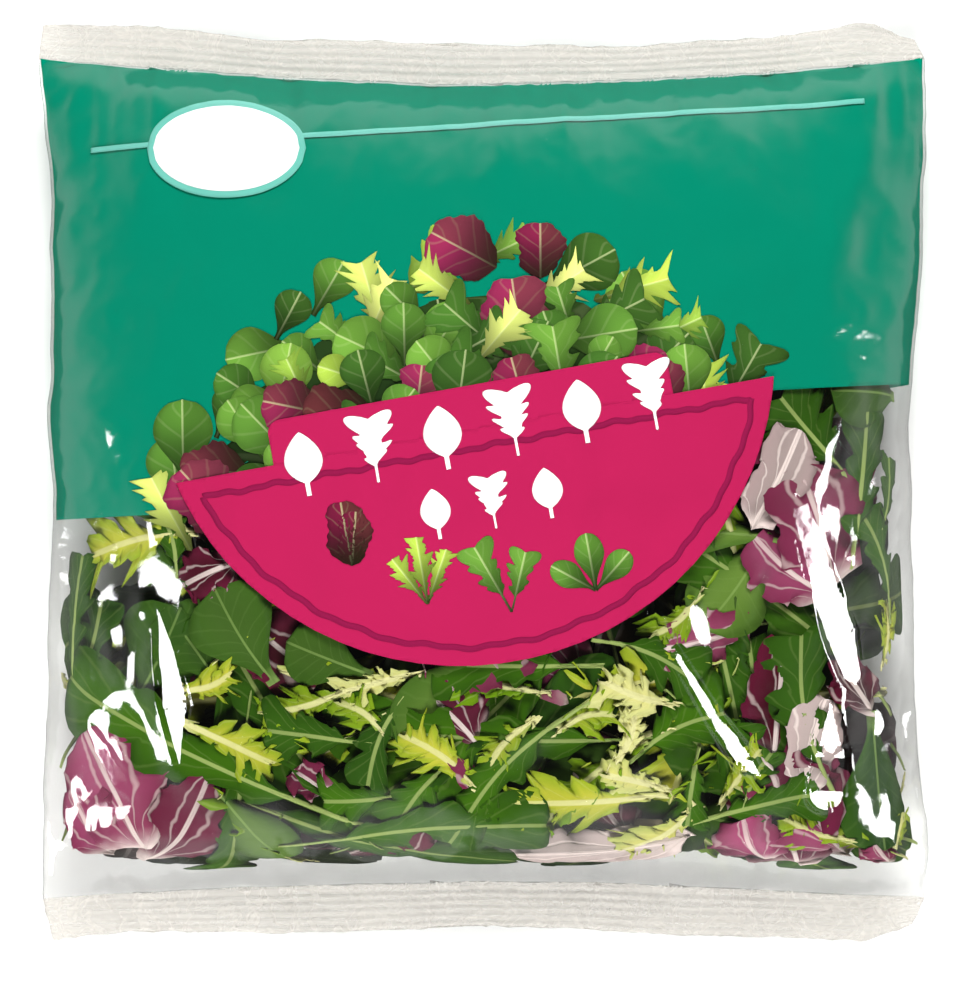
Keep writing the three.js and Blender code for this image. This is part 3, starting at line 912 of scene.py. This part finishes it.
# %% [markdown]
# Behind the layers lies a core, so that no gap looks right through the bag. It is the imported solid
# again, drawn in, with the dark greens and reds of leaves in deep shadow, and no shine. Cells of about
# a leaf's width, with their edges pushed about by noise, break its colour up.

# %% Core
CORE_SCALE = Vector((0.6, 0.62, 0.26))
CORE_MIDDLE = Vector((4 * MM, 0, 19 * MM))
CORE_WARP_SIZE = 25 * MM
CORE_CELL = 17 * MM
CORE_WARP = 0.03                 # share that the noise has in the place
RED_CELLS = (0.8, 0.85)          # of cells drawn from 0 to 1, those above this are red

core_material, tree, output = new_material("leaves_in_shadow")
place = add(tree, "TexCoord").outputs["Object"]
warp = add(tree, "TexNoise", Vector=place, Scale=1 / CORE_WARP_SIZE).outputs["Color"]
place = add(tree, "Mix", {"data_type": "VECTOR"}, _0=CORE_WARP, _4=place, _5=warp).outputs[1]
cells = add(tree, "TexVoronoi", Vector=place, Scale=1 / CORE_CELL)
shade = add(tree, "SeparateColor", Color=cells.outputs["Color"])
green = blend_colour(tree, shade.outputs[0], linear("#070b04"), linear("#16220a"))
patch = blend_colour(tree, ramp(tree, shade.outputs[1], *RED_CELLS), green, linear("#16060b"))
deep = add(tree, "BsdfPrincipled", Base_Color=patch, Roughness=0.6, Specular_IOR_Level=0.0)
tree.links.new(deep.outputs[0], output.inputs[0])

builder = bmesh.new()
builder.from_mesh(bag_node.data)
bmesh.ops.remove_doubles(builder, verts=builder.verts, dist=WELD)
for vertex in builder.verts:
    vertex.co = CORE_MIDDLE + (vertex.co - CORE_MIDDLE) * CORE_SCALE
core = object_from("leaf_core", builder, core_material)
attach(core, "root")
print("core, in mm:", [round(v / MM) for v in core.dimensions])

# %% [markdown]
# ## Printed fields
# Ink lies on the inner side of the film. Each field is a copy of the film's own facets, moved a little
# inwards and then cut to shape with upright planes, so that it follows every fold and never pierces
# the film. A deeper layer is printed under a shallower one. Flat colours on the film's own material
# would need an image or a mask, and their edges would be as coarse as its facets. Ink is opaque, even
# and matt on the back of the film, and all of its gloss comes from the film in front of it.

# %% Inks
INK_THICKNESS = 0.04 * MM        # real ink is far thinner, but would then flicker against the film
INK_WELD = 0.001 * MM
INK_ROUGHNESS = 0.5
TOP_LAYER = 0.14 * MM            # how far each layer lies behind the film
LINE_LAYER = 0.2 * MM
PANEL_LAYER = 0.28 * MM
BADGE_LAYERS = (0.38 * MM, 0.46 * MM, 0.54 * MM)
PILE_FRONT_LAYER = 0.36 * MM
PILE_STEP = 0.05 * MM        # between a pile's sheets of ink
GREEN_LAYER = 0.98 * MM


def ink(name, colour):
    """An opaque printed colour."""
    material, tree, output = new_material(name)
    shader = add(tree, "BsdfPrincipled", Base_Color=linear(colour), Roughness=INK_ROUGHNESS,
                 Specular_IOR_Level=0.0)
    tree.links.new(shader.outputs[0], output.inputs[0])
    return material


green_ink = ink("green_ink", "#007d62")
mint_ink = ink("mint_ink", "#69b8a9")
crimson_ink = ink("crimson_ink", "#b31e52")
dark_crimson_ink = ink("dark_crimson_ink", "#8b1745")
white_ink = ink("white_ink", "#fbfbfa")


def finish_print(name, builder, material):
    """Turns cut facets into a closed layer of ink that moves with the bag."""
    bmesh.ops.remove_doubles(builder, verts=builder.verts, dist=INK_WELD)
    printed = object_from(name, builder, material)
    wall = printed.modifiers.new("thickness", "SOLIDIFY")
    wall.thickness = INK_THICKNESS
    wall.offset = -1
    apply_modifiers(printed)
    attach(printed, "root")
    print(name, "faces:", len(printed.data.polygons))


def cut(builder, point, outward, faces=None):
    """Splits faces along an upright plane. With no faces given, it also drops the outward side."""
    chosen = faces or builder.faces[:]
    parts = {part for face in chosen for part in (*face.verts, *face.edges)}
    bmesh.ops.bisect_plane(
        builder, geom=[*parts, *chosen], plane_co=(*point, 0), plane_no=(*outward, 0),
        clear_outer=faces is None)


# %% [markdown]
# The green runs round the bag from the top seal down to a stepped edge on the front: two level parts
# at the sides and a slanted one between them, most of which the panel hides. The facets on the front
# are cut along each part in turn, and those on the back along one straight line.

# %% Green field
GREEN_EDGE = (seen(57, 520), seen(184, 513), seen(775, 390), seen(912, 384.5))
GREEN_MARGIN = 5 * MM            # facets this far below the edge are still copied, to be cut
FAR = 1                          # m, beyond everything


def green_bottom(place, front):
    """Y of the green field's lower edge at a place on the front or the back."""
    if not front:
        left, right = GREEN_EDGE[0], GREEN_EDGE[-1]
    else:
        span = 0 if place.x < GREEN_EDGE[1].x else 1 if place.x < GREEN_EDGE[2].x else 2
        left, right = GREEN_EDGE[span], GREEN_EDGE[span + 1]
    return left.y + (right.y - left.y) * (place.x - left.x) / (right.x - left.x)


def between_seals(centre):
    """True for a place on the body, which the crimped strips aren't part of."""
    return seal_line(centre.x, False) < centre.y < seal_line(centre.x, True)


lowest_green = min(place.y for place in GREEN_EDGE) - GREEN_MARGIN
builder = film_copy(
    GREEN_LAYER, lambda centre, normal: between_seals(centre) and centre.y > lowest_green)
builder.normal_update()
for corner in (GREEN_EDGE[1], GREEN_EDGE[2]):
    cut(builder, corner, (1, 0), builder.faces[:])
for span in range(3):
    left, right = GREEN_EDGE[span], GREEN_EDGE[span + 1]
    low = -FAR if span == 0 else left.x
    high = FAR if span == 2 else right.x
    chosen = [f for f in builder.faces if f.normal.z > 0 and low < f.calc_center_median().x < high]
    cut(builder, left, (left.y - right.y, right.x - left.x), chosen)
chosen = [face for face in builder.faces if face.normal.z <= 0]
left, right = GREEN_EDGE[0], GREEN_EDGE[-1]
cut(builder, left, (left.y - right.y, right.x - left.x), chosen)
unprinted = []
for face in builder.faces:
    centre = face.calc_center_median()
    if centre.y < green_bottom(centre, face.normal.z > 0):
        unprinted.append(face)
bmesh.ops.delete(builder, geom=unprinted, context="FACES")
finish_print("green_field", builder, green_ink)

# %% [markdown]
# The panel is part of a disc, cut off by a slanted chord, with a low tab standing on the chord. The
# disc is cut out by many short straight cuts, and each rounded corner of the tab by a few.

# %% Crimson panel
CHORD_START = seen(176, 483)
CHORD_END = seen(774, 376)
PANEL_MIDDLE = seen(460.7, 349.7)
PANEL_RADIUS = (CHORD_END - PANEL_MIDDLE).length
PANEL_CUTS = 72
PANEL_MARGIN = 3 * MM            # facets this far outside the disc are still copied, to be cut
CHORD_SIDE = 0.3                 # cuts that face the chord more than this would miss the panel
TAB_ENDS = (0.165, 0.83)         # along the chord
TAB_HEIGHT = 13 * MM
TAB_CORNER = 4 * MM
TAB_CORNER_CUTS = 8

chord = CHORD_END - CHORD_START
along_chord = chord.normalized()
above_chord = Vector((-along_chord.y, along_chord.x))


def near_panel(centre, normal):
    """True for facets on the front that the panel may cover."""
    return normal.z > 0 and (Vector(centre[:2]) - PANEL_MIDDLE).length < PANEL_RADIUS + PANEL_MARGIN


builder = film_copy(PANEL_LAYER, near_panel)
cut(builder, CHORD_START, above_chord)
for index in range(PANEL_CUTS):
    angle = math.tau * index / PANEL_CUTS
    outward = Vector((math.cos(angle), math.sin(angle)))
    if outward.dot(above_chord) < CHORD_SIDE:
        cut(builder, PANEL_MIDDLE + outward * PANEL_RADIUS, outward)
finish_print("crimson_panel", builder, crimson_ink)

tab_start = CHORD_START + chord * TAB_ENDS[0]
tab_end = CHORD_START + chord * TAB_ENDS[1]
builder = film_copy(PANEL_LAYER, near_panel)
cut(builder, CHORD_START, -above_chord)
cut(builder, CHORD_START + above_chord * TAB_HEIGHT, above_chord)
cut(builder, tab_start, -along_chord)
cut(builder, tab_end, along_chord)
for corner, side in ((tab_start, -1), (tab_end, 1)):
    middle = corner + above_chord * (TAB_HEIGHT - TAB_CORNER) - along_chord * TAB_CORNER * side
    for index in range(1, TAB_CORNER_CUTS):
        angle = math.pi / 2 * index / TAB_CORNER_CUTS
        outward = along_chord * side * math.cos(angle) + above_chord * math.sin(angle)
        cut(builder, middle + outward * TAB_CORNER, outward)
finish_print("crimson_tab", builder, crimson_ink)

# %% [markdown]
# ## Printed lines and leaf shapes
# Small shapes are grids, laid on the front in the same way as the leaves: a formula gives the half
# width at each point along them. A ribbon follows a path, and ovals and leaves stand on a straight rib.

# %% Laying small shapes
RIBBON_STEP = 0.9 * MM
PATH_PARTS = 40          # straight parts in which a path's length is measured
PATH_STEP = 0.001        # share of a path over which its direction is taken


def on_front(place, depth):
    """A point at a depth behind the front of the film."""
    hit, normal = film_search.ray_cast(Vector((*place, RAY_START)), DOWN)[:2]
    return hit - normal * depth


def lay_ribbon(builder, path, half_width, depth):
    """A ribbon along path(share), which gives a place for a share from 0 to 1."""
    marks = [path(index / PATH_PARTS) for index in range(PATH_PARTS + 1)]
    length = sum((end - start).length for start, end in zip(marks, marks[1:]))
    steps = round(length / RIBBON_STEP)
    made = bmesh.ops.create_grid(builder, x_segments=2, y_segments=steps, size=1)
    for vertex in made["verts"]:
        share = (vertex.co.y + 1) / 2
        ahead = (path(share + PATH_STEP) - path(share - PATH_STEP)).normalized()
        sideways = Vector((ahead.y, -ahead.x))
        vertex.co = on_front(path(share) + sideways * half_width * vertex.co.x, depth)


def oval_width(along, side, seed):
    """Half width of an oval."""
    return math.sqrt(max(0, 1 - (2 * along - 1) ** 2))


def lay_shape(builder, width, base, tip, half_width, depth, tone=0, seed=0, lean=0, grid=(6, 24)):
    """A flat shape between two places, with its half width from a formula."""
    tone_layer = builder.verts.layers.float["tone"]
    rib_layer = builder.verts.layers.float["off_rib"]
    made = bmesh.ops.create_grid(
        builder, x_segments=grid[0], y_segments=grid[1], size=1, calc_uvs=True)
    ahead = tip - base
    sideways = Vector((ahead.y, -ahead.x)).normalized()
    for vertex in made["verts"]:
        along = (vertex.co.y + 1) / 2
        side = 1 if vertex.co.x > 0 else -1
        off = vertex.co.x * width(along, side, seed) * half_width
        vertex[tone_layer] = tone
        vertex[rib_layer] = abs(off) / MM
        place = base + ahead * along + sideways * off + ahead.normalized() * abs(off) * lean
        vertex.co = on_front(place, depth)


print("film over the middle, in mm:", round(on_front(seen(*PHOTO_MIDDLE), 0).z / MM, 1))

# %% [markdown]
# A thin mint line crosses the green, and a plain white oval with a mint rim sits on it. Inside the
# panel's edge runs a darker line that wobbles as if it were drawn by hand.

# %% Lines and badge
MINT_LINE = (seen(90, 150), seen(865, 100))
MINT_HALF_WIDTH = 0.8 * MM
BADGE_MIDDLE = seen(226, 147)
BADGE_HALF = Vector((22 * MM, 13.5 * MM))
BADGE_RIM = 2 * MM
INNER_LINE_INSET = 5.5 * MM
INNER_LINE_HALF_WIDTH = 0.9 * MM
INNER_LINE_WAVE = 0.35 * MM

builder = bmesh.new()
lay_ribbon(builder, lambda s: MINT_LINE[0].lerp(MINT_LINE[1], s), MINT_HALF_WIDTH, BADGE_LAYERS[2])
finish_print("mint_line", builder, mint_ink)

across_badge = Vector((BADGE_HALF.x, 0))
for name, rim, depth, material in (
        ("badge_rim", BADGE_RIM, BADGE_LAYERS[1], mint_ink), ("badge", 0, BADGE_LAYERS[0], white_ink)):
    builder = shape_builder("tone", "off_rib")
    reach = across_badge + Vector((rim, 0))
    lay_shape(builder, oval_width, BADGE_MIDDLE - reach, BADGE_MIDDLE + reach, BADGE_HALF.y + rim,
              depth, grid=(24, 48))
    finish_print(name, builder, material)


def uneven(share):
    """A hand-drawn wobble along a line."""
    return INNER_LINE_WAVE * (math.sin(share * 61) + 0.7 * math.sin(share * 143 + 1))


inner_radius = PANEL_RADIUS - INNER_LINE_INSET
chord_drop = abs((CHORD_START - PANEL_MIDDLE).dot(above_chord)) + INNER_LINE_INSET
arc_middle = math.atan2(-above_chord.y, -above_chord.x)
arc_half = math.acos(chord_drop / inner_radius)


def inner_arc(share):
    """A place on the wavy line inside the panel's round edge."""
    angle = arc_middle + arc_half * (2 * share - 1)
    return PANEL_MIDDLE + Vector((math.cos(angle), math.sin(angle))) * (inner_radius + uneven(share))


def inner_chord(share):
    """A place on the wavy line inside the panel's straight edge."""
    return inner_arc(0).lerp(inner_arc(1), share) + above_chord * uneven(share)


builder = bmesh.new()
lay_ribbon(builder, inner_arc, INNER_LINE_HALF_WIDTH, LINE_LAYER)
lay_ribbon(builder, inner_chord, INNER_LINE_HALF_WIDTH, LINE_LAYER)
finish_print("panel_line", builder, dark_crimson_ink)

# %% [markdown]
# Two rows of plain white leaves fill the panel's middle. Each row has its start and end in pixels, how
# many leaves it has and how tall they are in mm. The two styles take turns.

# %% White leaf shapes
WHITE_ROWS = (((304, 464), (652, 398), 6, 19.0), ((436, 514), (548, 493), 3, 15.0))


def pointed_width(along, side, seed):
    """Half width of a plain pointed leaf on a short stalk."""
    blade = math.sin(math.pi * min(1, max(0, (along - 0.2) / 0.8)) ** 0.85)
    return max(0.12 * smooth_step(1 - along, 0, 0.05), max(0, blade) ** 0.8)


WHITE_STYLES = ((pointed_width, 0.3, 0), (rocket_width, 0.42, 0.5))     # with half width and lean

builder = shape_builder("tone", "off_rib")
for start, end, count, tall in WHITE_ROWS:
    row_start, row_end = seen(*start), seen(*end)
    for index in range(count):
        middle = row_start.lerp(row_end, index / (count - 1))
        reach = above_chord * tall / 2 * MM
        width, half, lean = WHITE_STYLES[index % 2]
        lay_shape(builder, width, middle - reach, middle + reach, half * tall * MM, TOP_LAYER,
                  seed=index, lean=lean, grid=(8, 40))
finish_print("white_leaves", builder, white_ink)

# %% [markdown]
# ## The printed pile
# Above the panel stands a printed heap of leaves. It is drawn in rows like roof tiles, from the back
# of the heap to its front. Neighbours in a row take turns between two sheets of ink, so that each leaf
# overlaps the next one cleanly, as in a picture. One ink serves all of its leaves: the tone picks the
# colour from a scale that runs from dark green over yellow green to wine red, the half towards the
# light is brighter, and each leaf darkens towards its base, where the next row would shade it.

# %% Printed leaf ink
PRINTED_COLOURS = ((0, "#1d3114"), (0.25, "#3c6424"), (0.5, "#5f8a35"), (0.62, "#9cb544"),
                   (0.74, "#c7cf74"), (0.78, "#7e2448"), (1, "#4c0d22"))
PRINTED_SHEEN = (1.75, 1.7, 1.6, 1)
PRINTED_VEINS = 26       # radians of the veins' wave along a leaf
PRINTED_SLANT = 14
VEIN_SHARE = 0.05
RIB_SHARE = 0.3
RIB_EDGES = (0.2, 0.4)   # mm off the rib over which it fades
DARK_HALF_SHARE = 0.35
BASE_SHADOW = 0.85

printed_leaf, tree, output = new_material("printed_leaf_inks")
tone = add(tree, "Attribute", {"attribute_name": "tone"}).outputs["Fac"]
off_rib = add(tree, "Attribute", {"attribute_name": "off_rib"}).outputs["Fac"]
on_leaf = add(tree, "SeparateXYZ", Vector=add(tree, "UVMap", {"uv_map": "leaf"}).outputs[0])
along = on_leaf.outputs[1]
across = maths(tree, "ABSOLUTE", maths(tree, "SUBTRACT", on_leaf.outputs[0], 0.5))
colours = add(tree, "ValToRGB", Fac=tone)
stops = colours.color_ramp
stops.elements[0].color = linear(PRINTED_COLOURS[0][1])
stops.elements[-1].color = linear(PRINTED_COLOURS[-1][1])
for position, colour in PRINTED_COLOURS[1:-1]:
    stops.elements.new(position).color = linear(colour)
slant = maths(tree, "MULTIPLY", across, PRINTED_SLANT)
phase = maths(tree, "SUBTRACT", maths(tree, "MULTIPLY", along, PRINTED_VEINS), slant)
vein = maths(tree, "MULTIPLY", ramp(tree, maths(tree, "SINE", phase), 0.8, 1.0), VEIN_SHARE)
rib = maths(tree, "SUBTRACT", 1, ramp(tree, off_rib, *RIB_EDGES))
pale = maths(tree, "MAXIMUM", vein, maths(tree, "MULTIPLY", rib, RIB_SHARE))
lit = blend_colour(tree, pale, colours.outputs[0], linear("#cfdba4"))
far_half = maths(tree, "MULTIPLY", ramp(tree, on_leaf.outputs[0], 0.47, 0.53), DARK_HALF_SHARE)
lit = blend_colour(tree, far_half, lit, linear("#20340f"))
sheen = maths(tree, "MULTIPLY", ramp(tree, along, 0.4, 0.9), maths(tree, "SUBTRACT", 1, across))
lit = tinted(tree, sheen, lit, PRINTED_SHEEN)
near_base = maths(tree, "SUBTRACT", 1, ramp(tree, along, 0.0, 0.75))
shadow = maths(tree, "MULTIPLY", near_base, BASE_SHADOW)
printed = blend_colour(tree, shadow, lit, linear("#101a08"))
shader = add(tree, "BsdfPrincipled", Base_Color=printed, Roughness=INK_ROUGHNESS,
             Specular_IOR_Level=0.0)
tree.links.new(shader.outputs[0], output.inputs[0])
print("printed leaf colours:", len(PRINTED_COLOURS))

# %% [markdown]
# The pile itself is a dome that stands on the panel's chord: a dark back, and on it the rows of
# leaves, from the outer one to the inner one. They all fan out from the dome's foot, with a random
# turn, so that the heap looks thrown together.

# %% Printed pile
PILE_MIDDLE = seen(468, 470)
PILE_HALF = Vector((92 * MM, 66 * MM))
PILE_ROWS = ((0.94, 20), (0.82, 18), (0.69, 17), (0.55, 14), (0.41, 11))    # reach and leaves
BACK_SHARE = (0.84, 0.78)        # the dark back's half width and height, of the dome's
GREENS = (0.1, 0.6)              # tones
YELLOWS = (0.5, 0.74)
REDS = (0.8, 1.0)
LEAF_REACH = (7, 13)             # half a printed leaf's length, in mm
LEAF_TURN = 1.2                  # radians to either side
PILE_KINDS = ((spoon_width, 0.0, 0.36, GREENS), (rocket_width, 0.5, 0.42, GREENS),
              (endive_width, 0.7, 0.5, YELLOWS), (radicchio_width, 0.15, 0.5, REDS))
PILE_WEIGHTS = (56, 16, 15, 13)


def pile_place(angle, share):
    """A place in the pile's dome, at an angle from its right and a share of its reach."""
    return (PILE_MIDDLE + along_chord * PILE_HALF.x * math.cos(angle) * share
            + above_chord * PILE_HALF.y * math.sin(angle) * share)


def dome_width(along, side, seed):
    """Half width of the pile's dark back, from its foot to its top."""
    return math.sqrt(max(0, 1 - along * along)) * (0.97 + 0.03 * math.sin(along * 60 + side))


pile_draw = random.Random(77)
builder = shape_builder("tone", "off_rib")
back_depth = PILE_FRONT_LAYER + PILE_STEP * 2 * len(PILE_ROWS)
lay_shape(builder, dome_width, PILE_MIDDLE, pile_place(math.pi / 2, BACK_SHARE[1]),
          PILE_HALF.x * BACK_SHARE[0], back_depth, grid=(60, 24))
for row, (share, count) in enumerate(PILE_ROWS):
    for index in range(count):
        depth = back_depth - PILE_STEP * (2 * row + 1 + index % 2)
        width, lean, half, tones = pile_draw.choices(PILE_KINDS, PILE_WEIGHTS)[0]
        angle = (index + pile_draw.uniform(0.2, 0.8)) / count * math.pi
        middle = pile_place(angle, share + pile_draw.uniform(-0.09, 0.05))
        outward = (middle - PILE_MIDDLE).normalized()
        turn = Matrix.Rotation(pile_draw.uniform(-LEAF_TURN, LEAF_TURN), 2)
        ahead = (outward * 0.5 + above_chord * 0.5).normalized()
        reach = turn @ ahead * pile_draw.uniform(*LEAF_REACH) * MM
        lay_shape(builder, width, middle - reach, middle + reach, reach.length * 2 * half,
                  depth, pile_draw.uniform(*tones), pile_draw.uniform(0, 9), lean)
finish_print("printed_pile", builder, printed_leaf)

# %% [markdown]
# One small group for each kind of leaf stands along an arc in the lower part of the panel. Each has
# its outline, lean, half width and tone, and then for each leaf the pixel of its base, its turn in
# radians and its height in mm.

# %% Small motifs
MOTIFS = (
    (radicchio_width, 0.1, 0.36, 0.95, ((352, 566, 0, 19), (352, 566, 0.25, 16))),
    (endive_width, 0.5, 0.3, 0.6, ((428, 604, -0.5, 17), (428, 604, 0.5, 17), (428, 604, 0, 20))),
    (rocket_width, 0.5, 0.3, 0.42, ((512, 612, -0.35, 22), (512, 612, 0.4, 18))),
    (spoon_width, 0.0, 0.26, 0.36, ((596, 590, -0.9, 15), (596, 590, 0.9, 15), (596, 590, 0, 17))),
)
builder = shape_builder("tone", "off_rib")
for width, lean, half, tone, group in MOTIFS:
    for pixel_x, pixel_y, turn, tall in group:
        base = seen(pixel_x, pixel_y)
        tip = base + Matrix.Rotation(-turn, 2) @ (above_chord * tall * MM)
        lay_shape(builder, width, base, tip, half * tall * MM, TOP_LAYER, tone, turn, lean, (8, 40))
finish_print("small_motifs", builder, printed_leaf)

# %% [markdown]
# ## Film finish
# Polypropylene film is clear and smooth, so it is all but invisible where it faces the viewer, apart
# from sharp bright patches that mirror a lamp. Towards its folds, where light grazes it, it mirrors
# more and its fine scratches show as a faint haze. The crimped strips are two layers that were
# pressed together hot, which makes them milky, with ribs along them and creases across. Transparent,
# glossy and diffuse shaders are mixed by their real shares. A glass shader would bend the light, as
# if the bag were solid.

# %% Film materials
CRACKLE_SIZE = 3 * MM
CRACKLE_HEIGHT = 0.3 * MM
GLOSS_SHARE = 0.07           # two faces of polypropylene, whose IOR is 1.49, mirror this much
GRAZING_GLOSS = 0.3          # and this much more where light grazes them
GRAZING_HAZE = 0.03
FACING_HAZE = 0.001
FILM_CLEARNESS = (0.96, 0.96, 0.955, 1)
SEAL_CLEARNESS = (0.88, 0.875, 0.86, 1)
RIB_SIZES = (40 * MM, 1.1 * MM, 10 * MM)     # the ribs of a crimped strip run across the bag
SEAL_RELIEF = 0.4 * MM
CREASE_SIZE = 8 * MM
MILKINESS = (0.2, 0.45)      # everywhere, and added on the ribs and creases

tree = film_nodes
place = add(tree, "TexCoord").outputs["Object"]
crackle = add(tree, "TexNoise", Vector=place, Scale=1 / CRACKLE_SIZE, Detail=1,
              Roughness=0.6).outputs["Fac"]
bumps = add(tree, "Bump", Strength=0.1, Distance=CRACKLE_HEIGHT, Height=crackle).outputs[0]
facing = add(tree, "LayerWeight", Blend=0.5).outputs["Facing"]
grazing = ramp(tree, facing, 0.02, 0.9)
clear = add(tree, "BsdfTransparent", Color=FILM_CLEARNESS)
shine = add(tree, "BsdfGlossy", Color=(1, 1, 1, 1), Roughness=0.08, Normal=bumps)
shine_share = maths(tree, "ADD", maths(tree, "MULTIPLY", grazing, GRAZING_GLOSS), GLOSS_SHARE)
glossy = add(tree, "MixShader", _0=shine_share, _1=clear.outputs[0], _2=shine.outputs[0])
haze = add(tree, "BsdfDiffuse", Color=linear("#b4b4ae"))
steep = maths(tree, "MULTIPLY", ramp(tree, facing, 0.05, 0.35), GRAZING_HAZE)
haze_share = maths(tree, "ADD", steep, FACING_HAZE)
hazed = add(tree, "MixShader", _0=haze_share, _1=glossy.outputs[0], _2=haze.outputs[0])
tree.links.new(hazed.outputs[0], film_output.inputs[0])

seal_material, tree, output = new_material("crimped_polypropylene_film")
place = add(tree, "TexCoord").outputs["Object"]
lines = add(tree, "Mapping", Vector=place, Scale=[1 / size for size in RIB_SIZES]).outputs[0]
ribs = add(tree, "TexNoise", Vector=lines, Scale=1, Detail=2).outputs["Fac"]
folds = add(tree, "TexNoise", Vector=place, Scale=1 / CREASE_SIZE, Detail=3, Distortion=1.2).outputs["Fac"]
creases = ramp(tree, maths(tree, "ABSOLUTE", maths(tree, "SUBTRACT", folds, 0.5)), 0.05, 0)
streaks = maths(tree, "ADD", maths(tree, "MULTIPLY", ribs, 0.7), maths(tree, "MULTIPLY", creases, 0.4))
bumps = add(tree, "Bump", Strength=0.3, Distance=SEAL_RELIEF, Height=streaks).outputs[0]
clear = add(tree, "BsdfTransparent", Color=SEAL_CLEARNESS)
milky = add(tree, "BsdfPrincipled", Base_Color=linear("#cfcac2"), Roughness=0.25, Normal=bumps)
milky_share = maths(tree, "ADD", maths(tree, "MULTIPLY", streaks, MILKINESS[1]), MILKINESS[0])
crimped = add(tree, "MixShader", _0=milky_share, _1=clear.outputs[0], _2=milky.outputs[0])
tree.links.new(crimped.outputs[0], output.inputs[0])

film.data.materials.append(seal_material)
crimped_facets = [face for face in film.data.polygons if not between_seals(face.center)]
for face in crimped_facets:
    face.material_index = 1
print("facets in the crimped strips:", len(crimped_facets), "of", len(film.data.polygons))

film.visible_shadow = False      # clear film casts no shadow worth its long sums
film.visible_diffuse = False     # and changes little for rays that have already met a leaf or film
film.visible_glossy = False
film.visible_transmission = False
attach(film, "root")
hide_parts("bag")

# %% [markdown]
# ## Size
# The imported solid sets the size, and the size of what is drawn is printed below. The looks must stay
# inside its box, give or take a few millimetres.

# %% Size and end
low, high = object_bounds()
print("visual bag, in mm:", [round(v / MM, 1) for v in high - low])
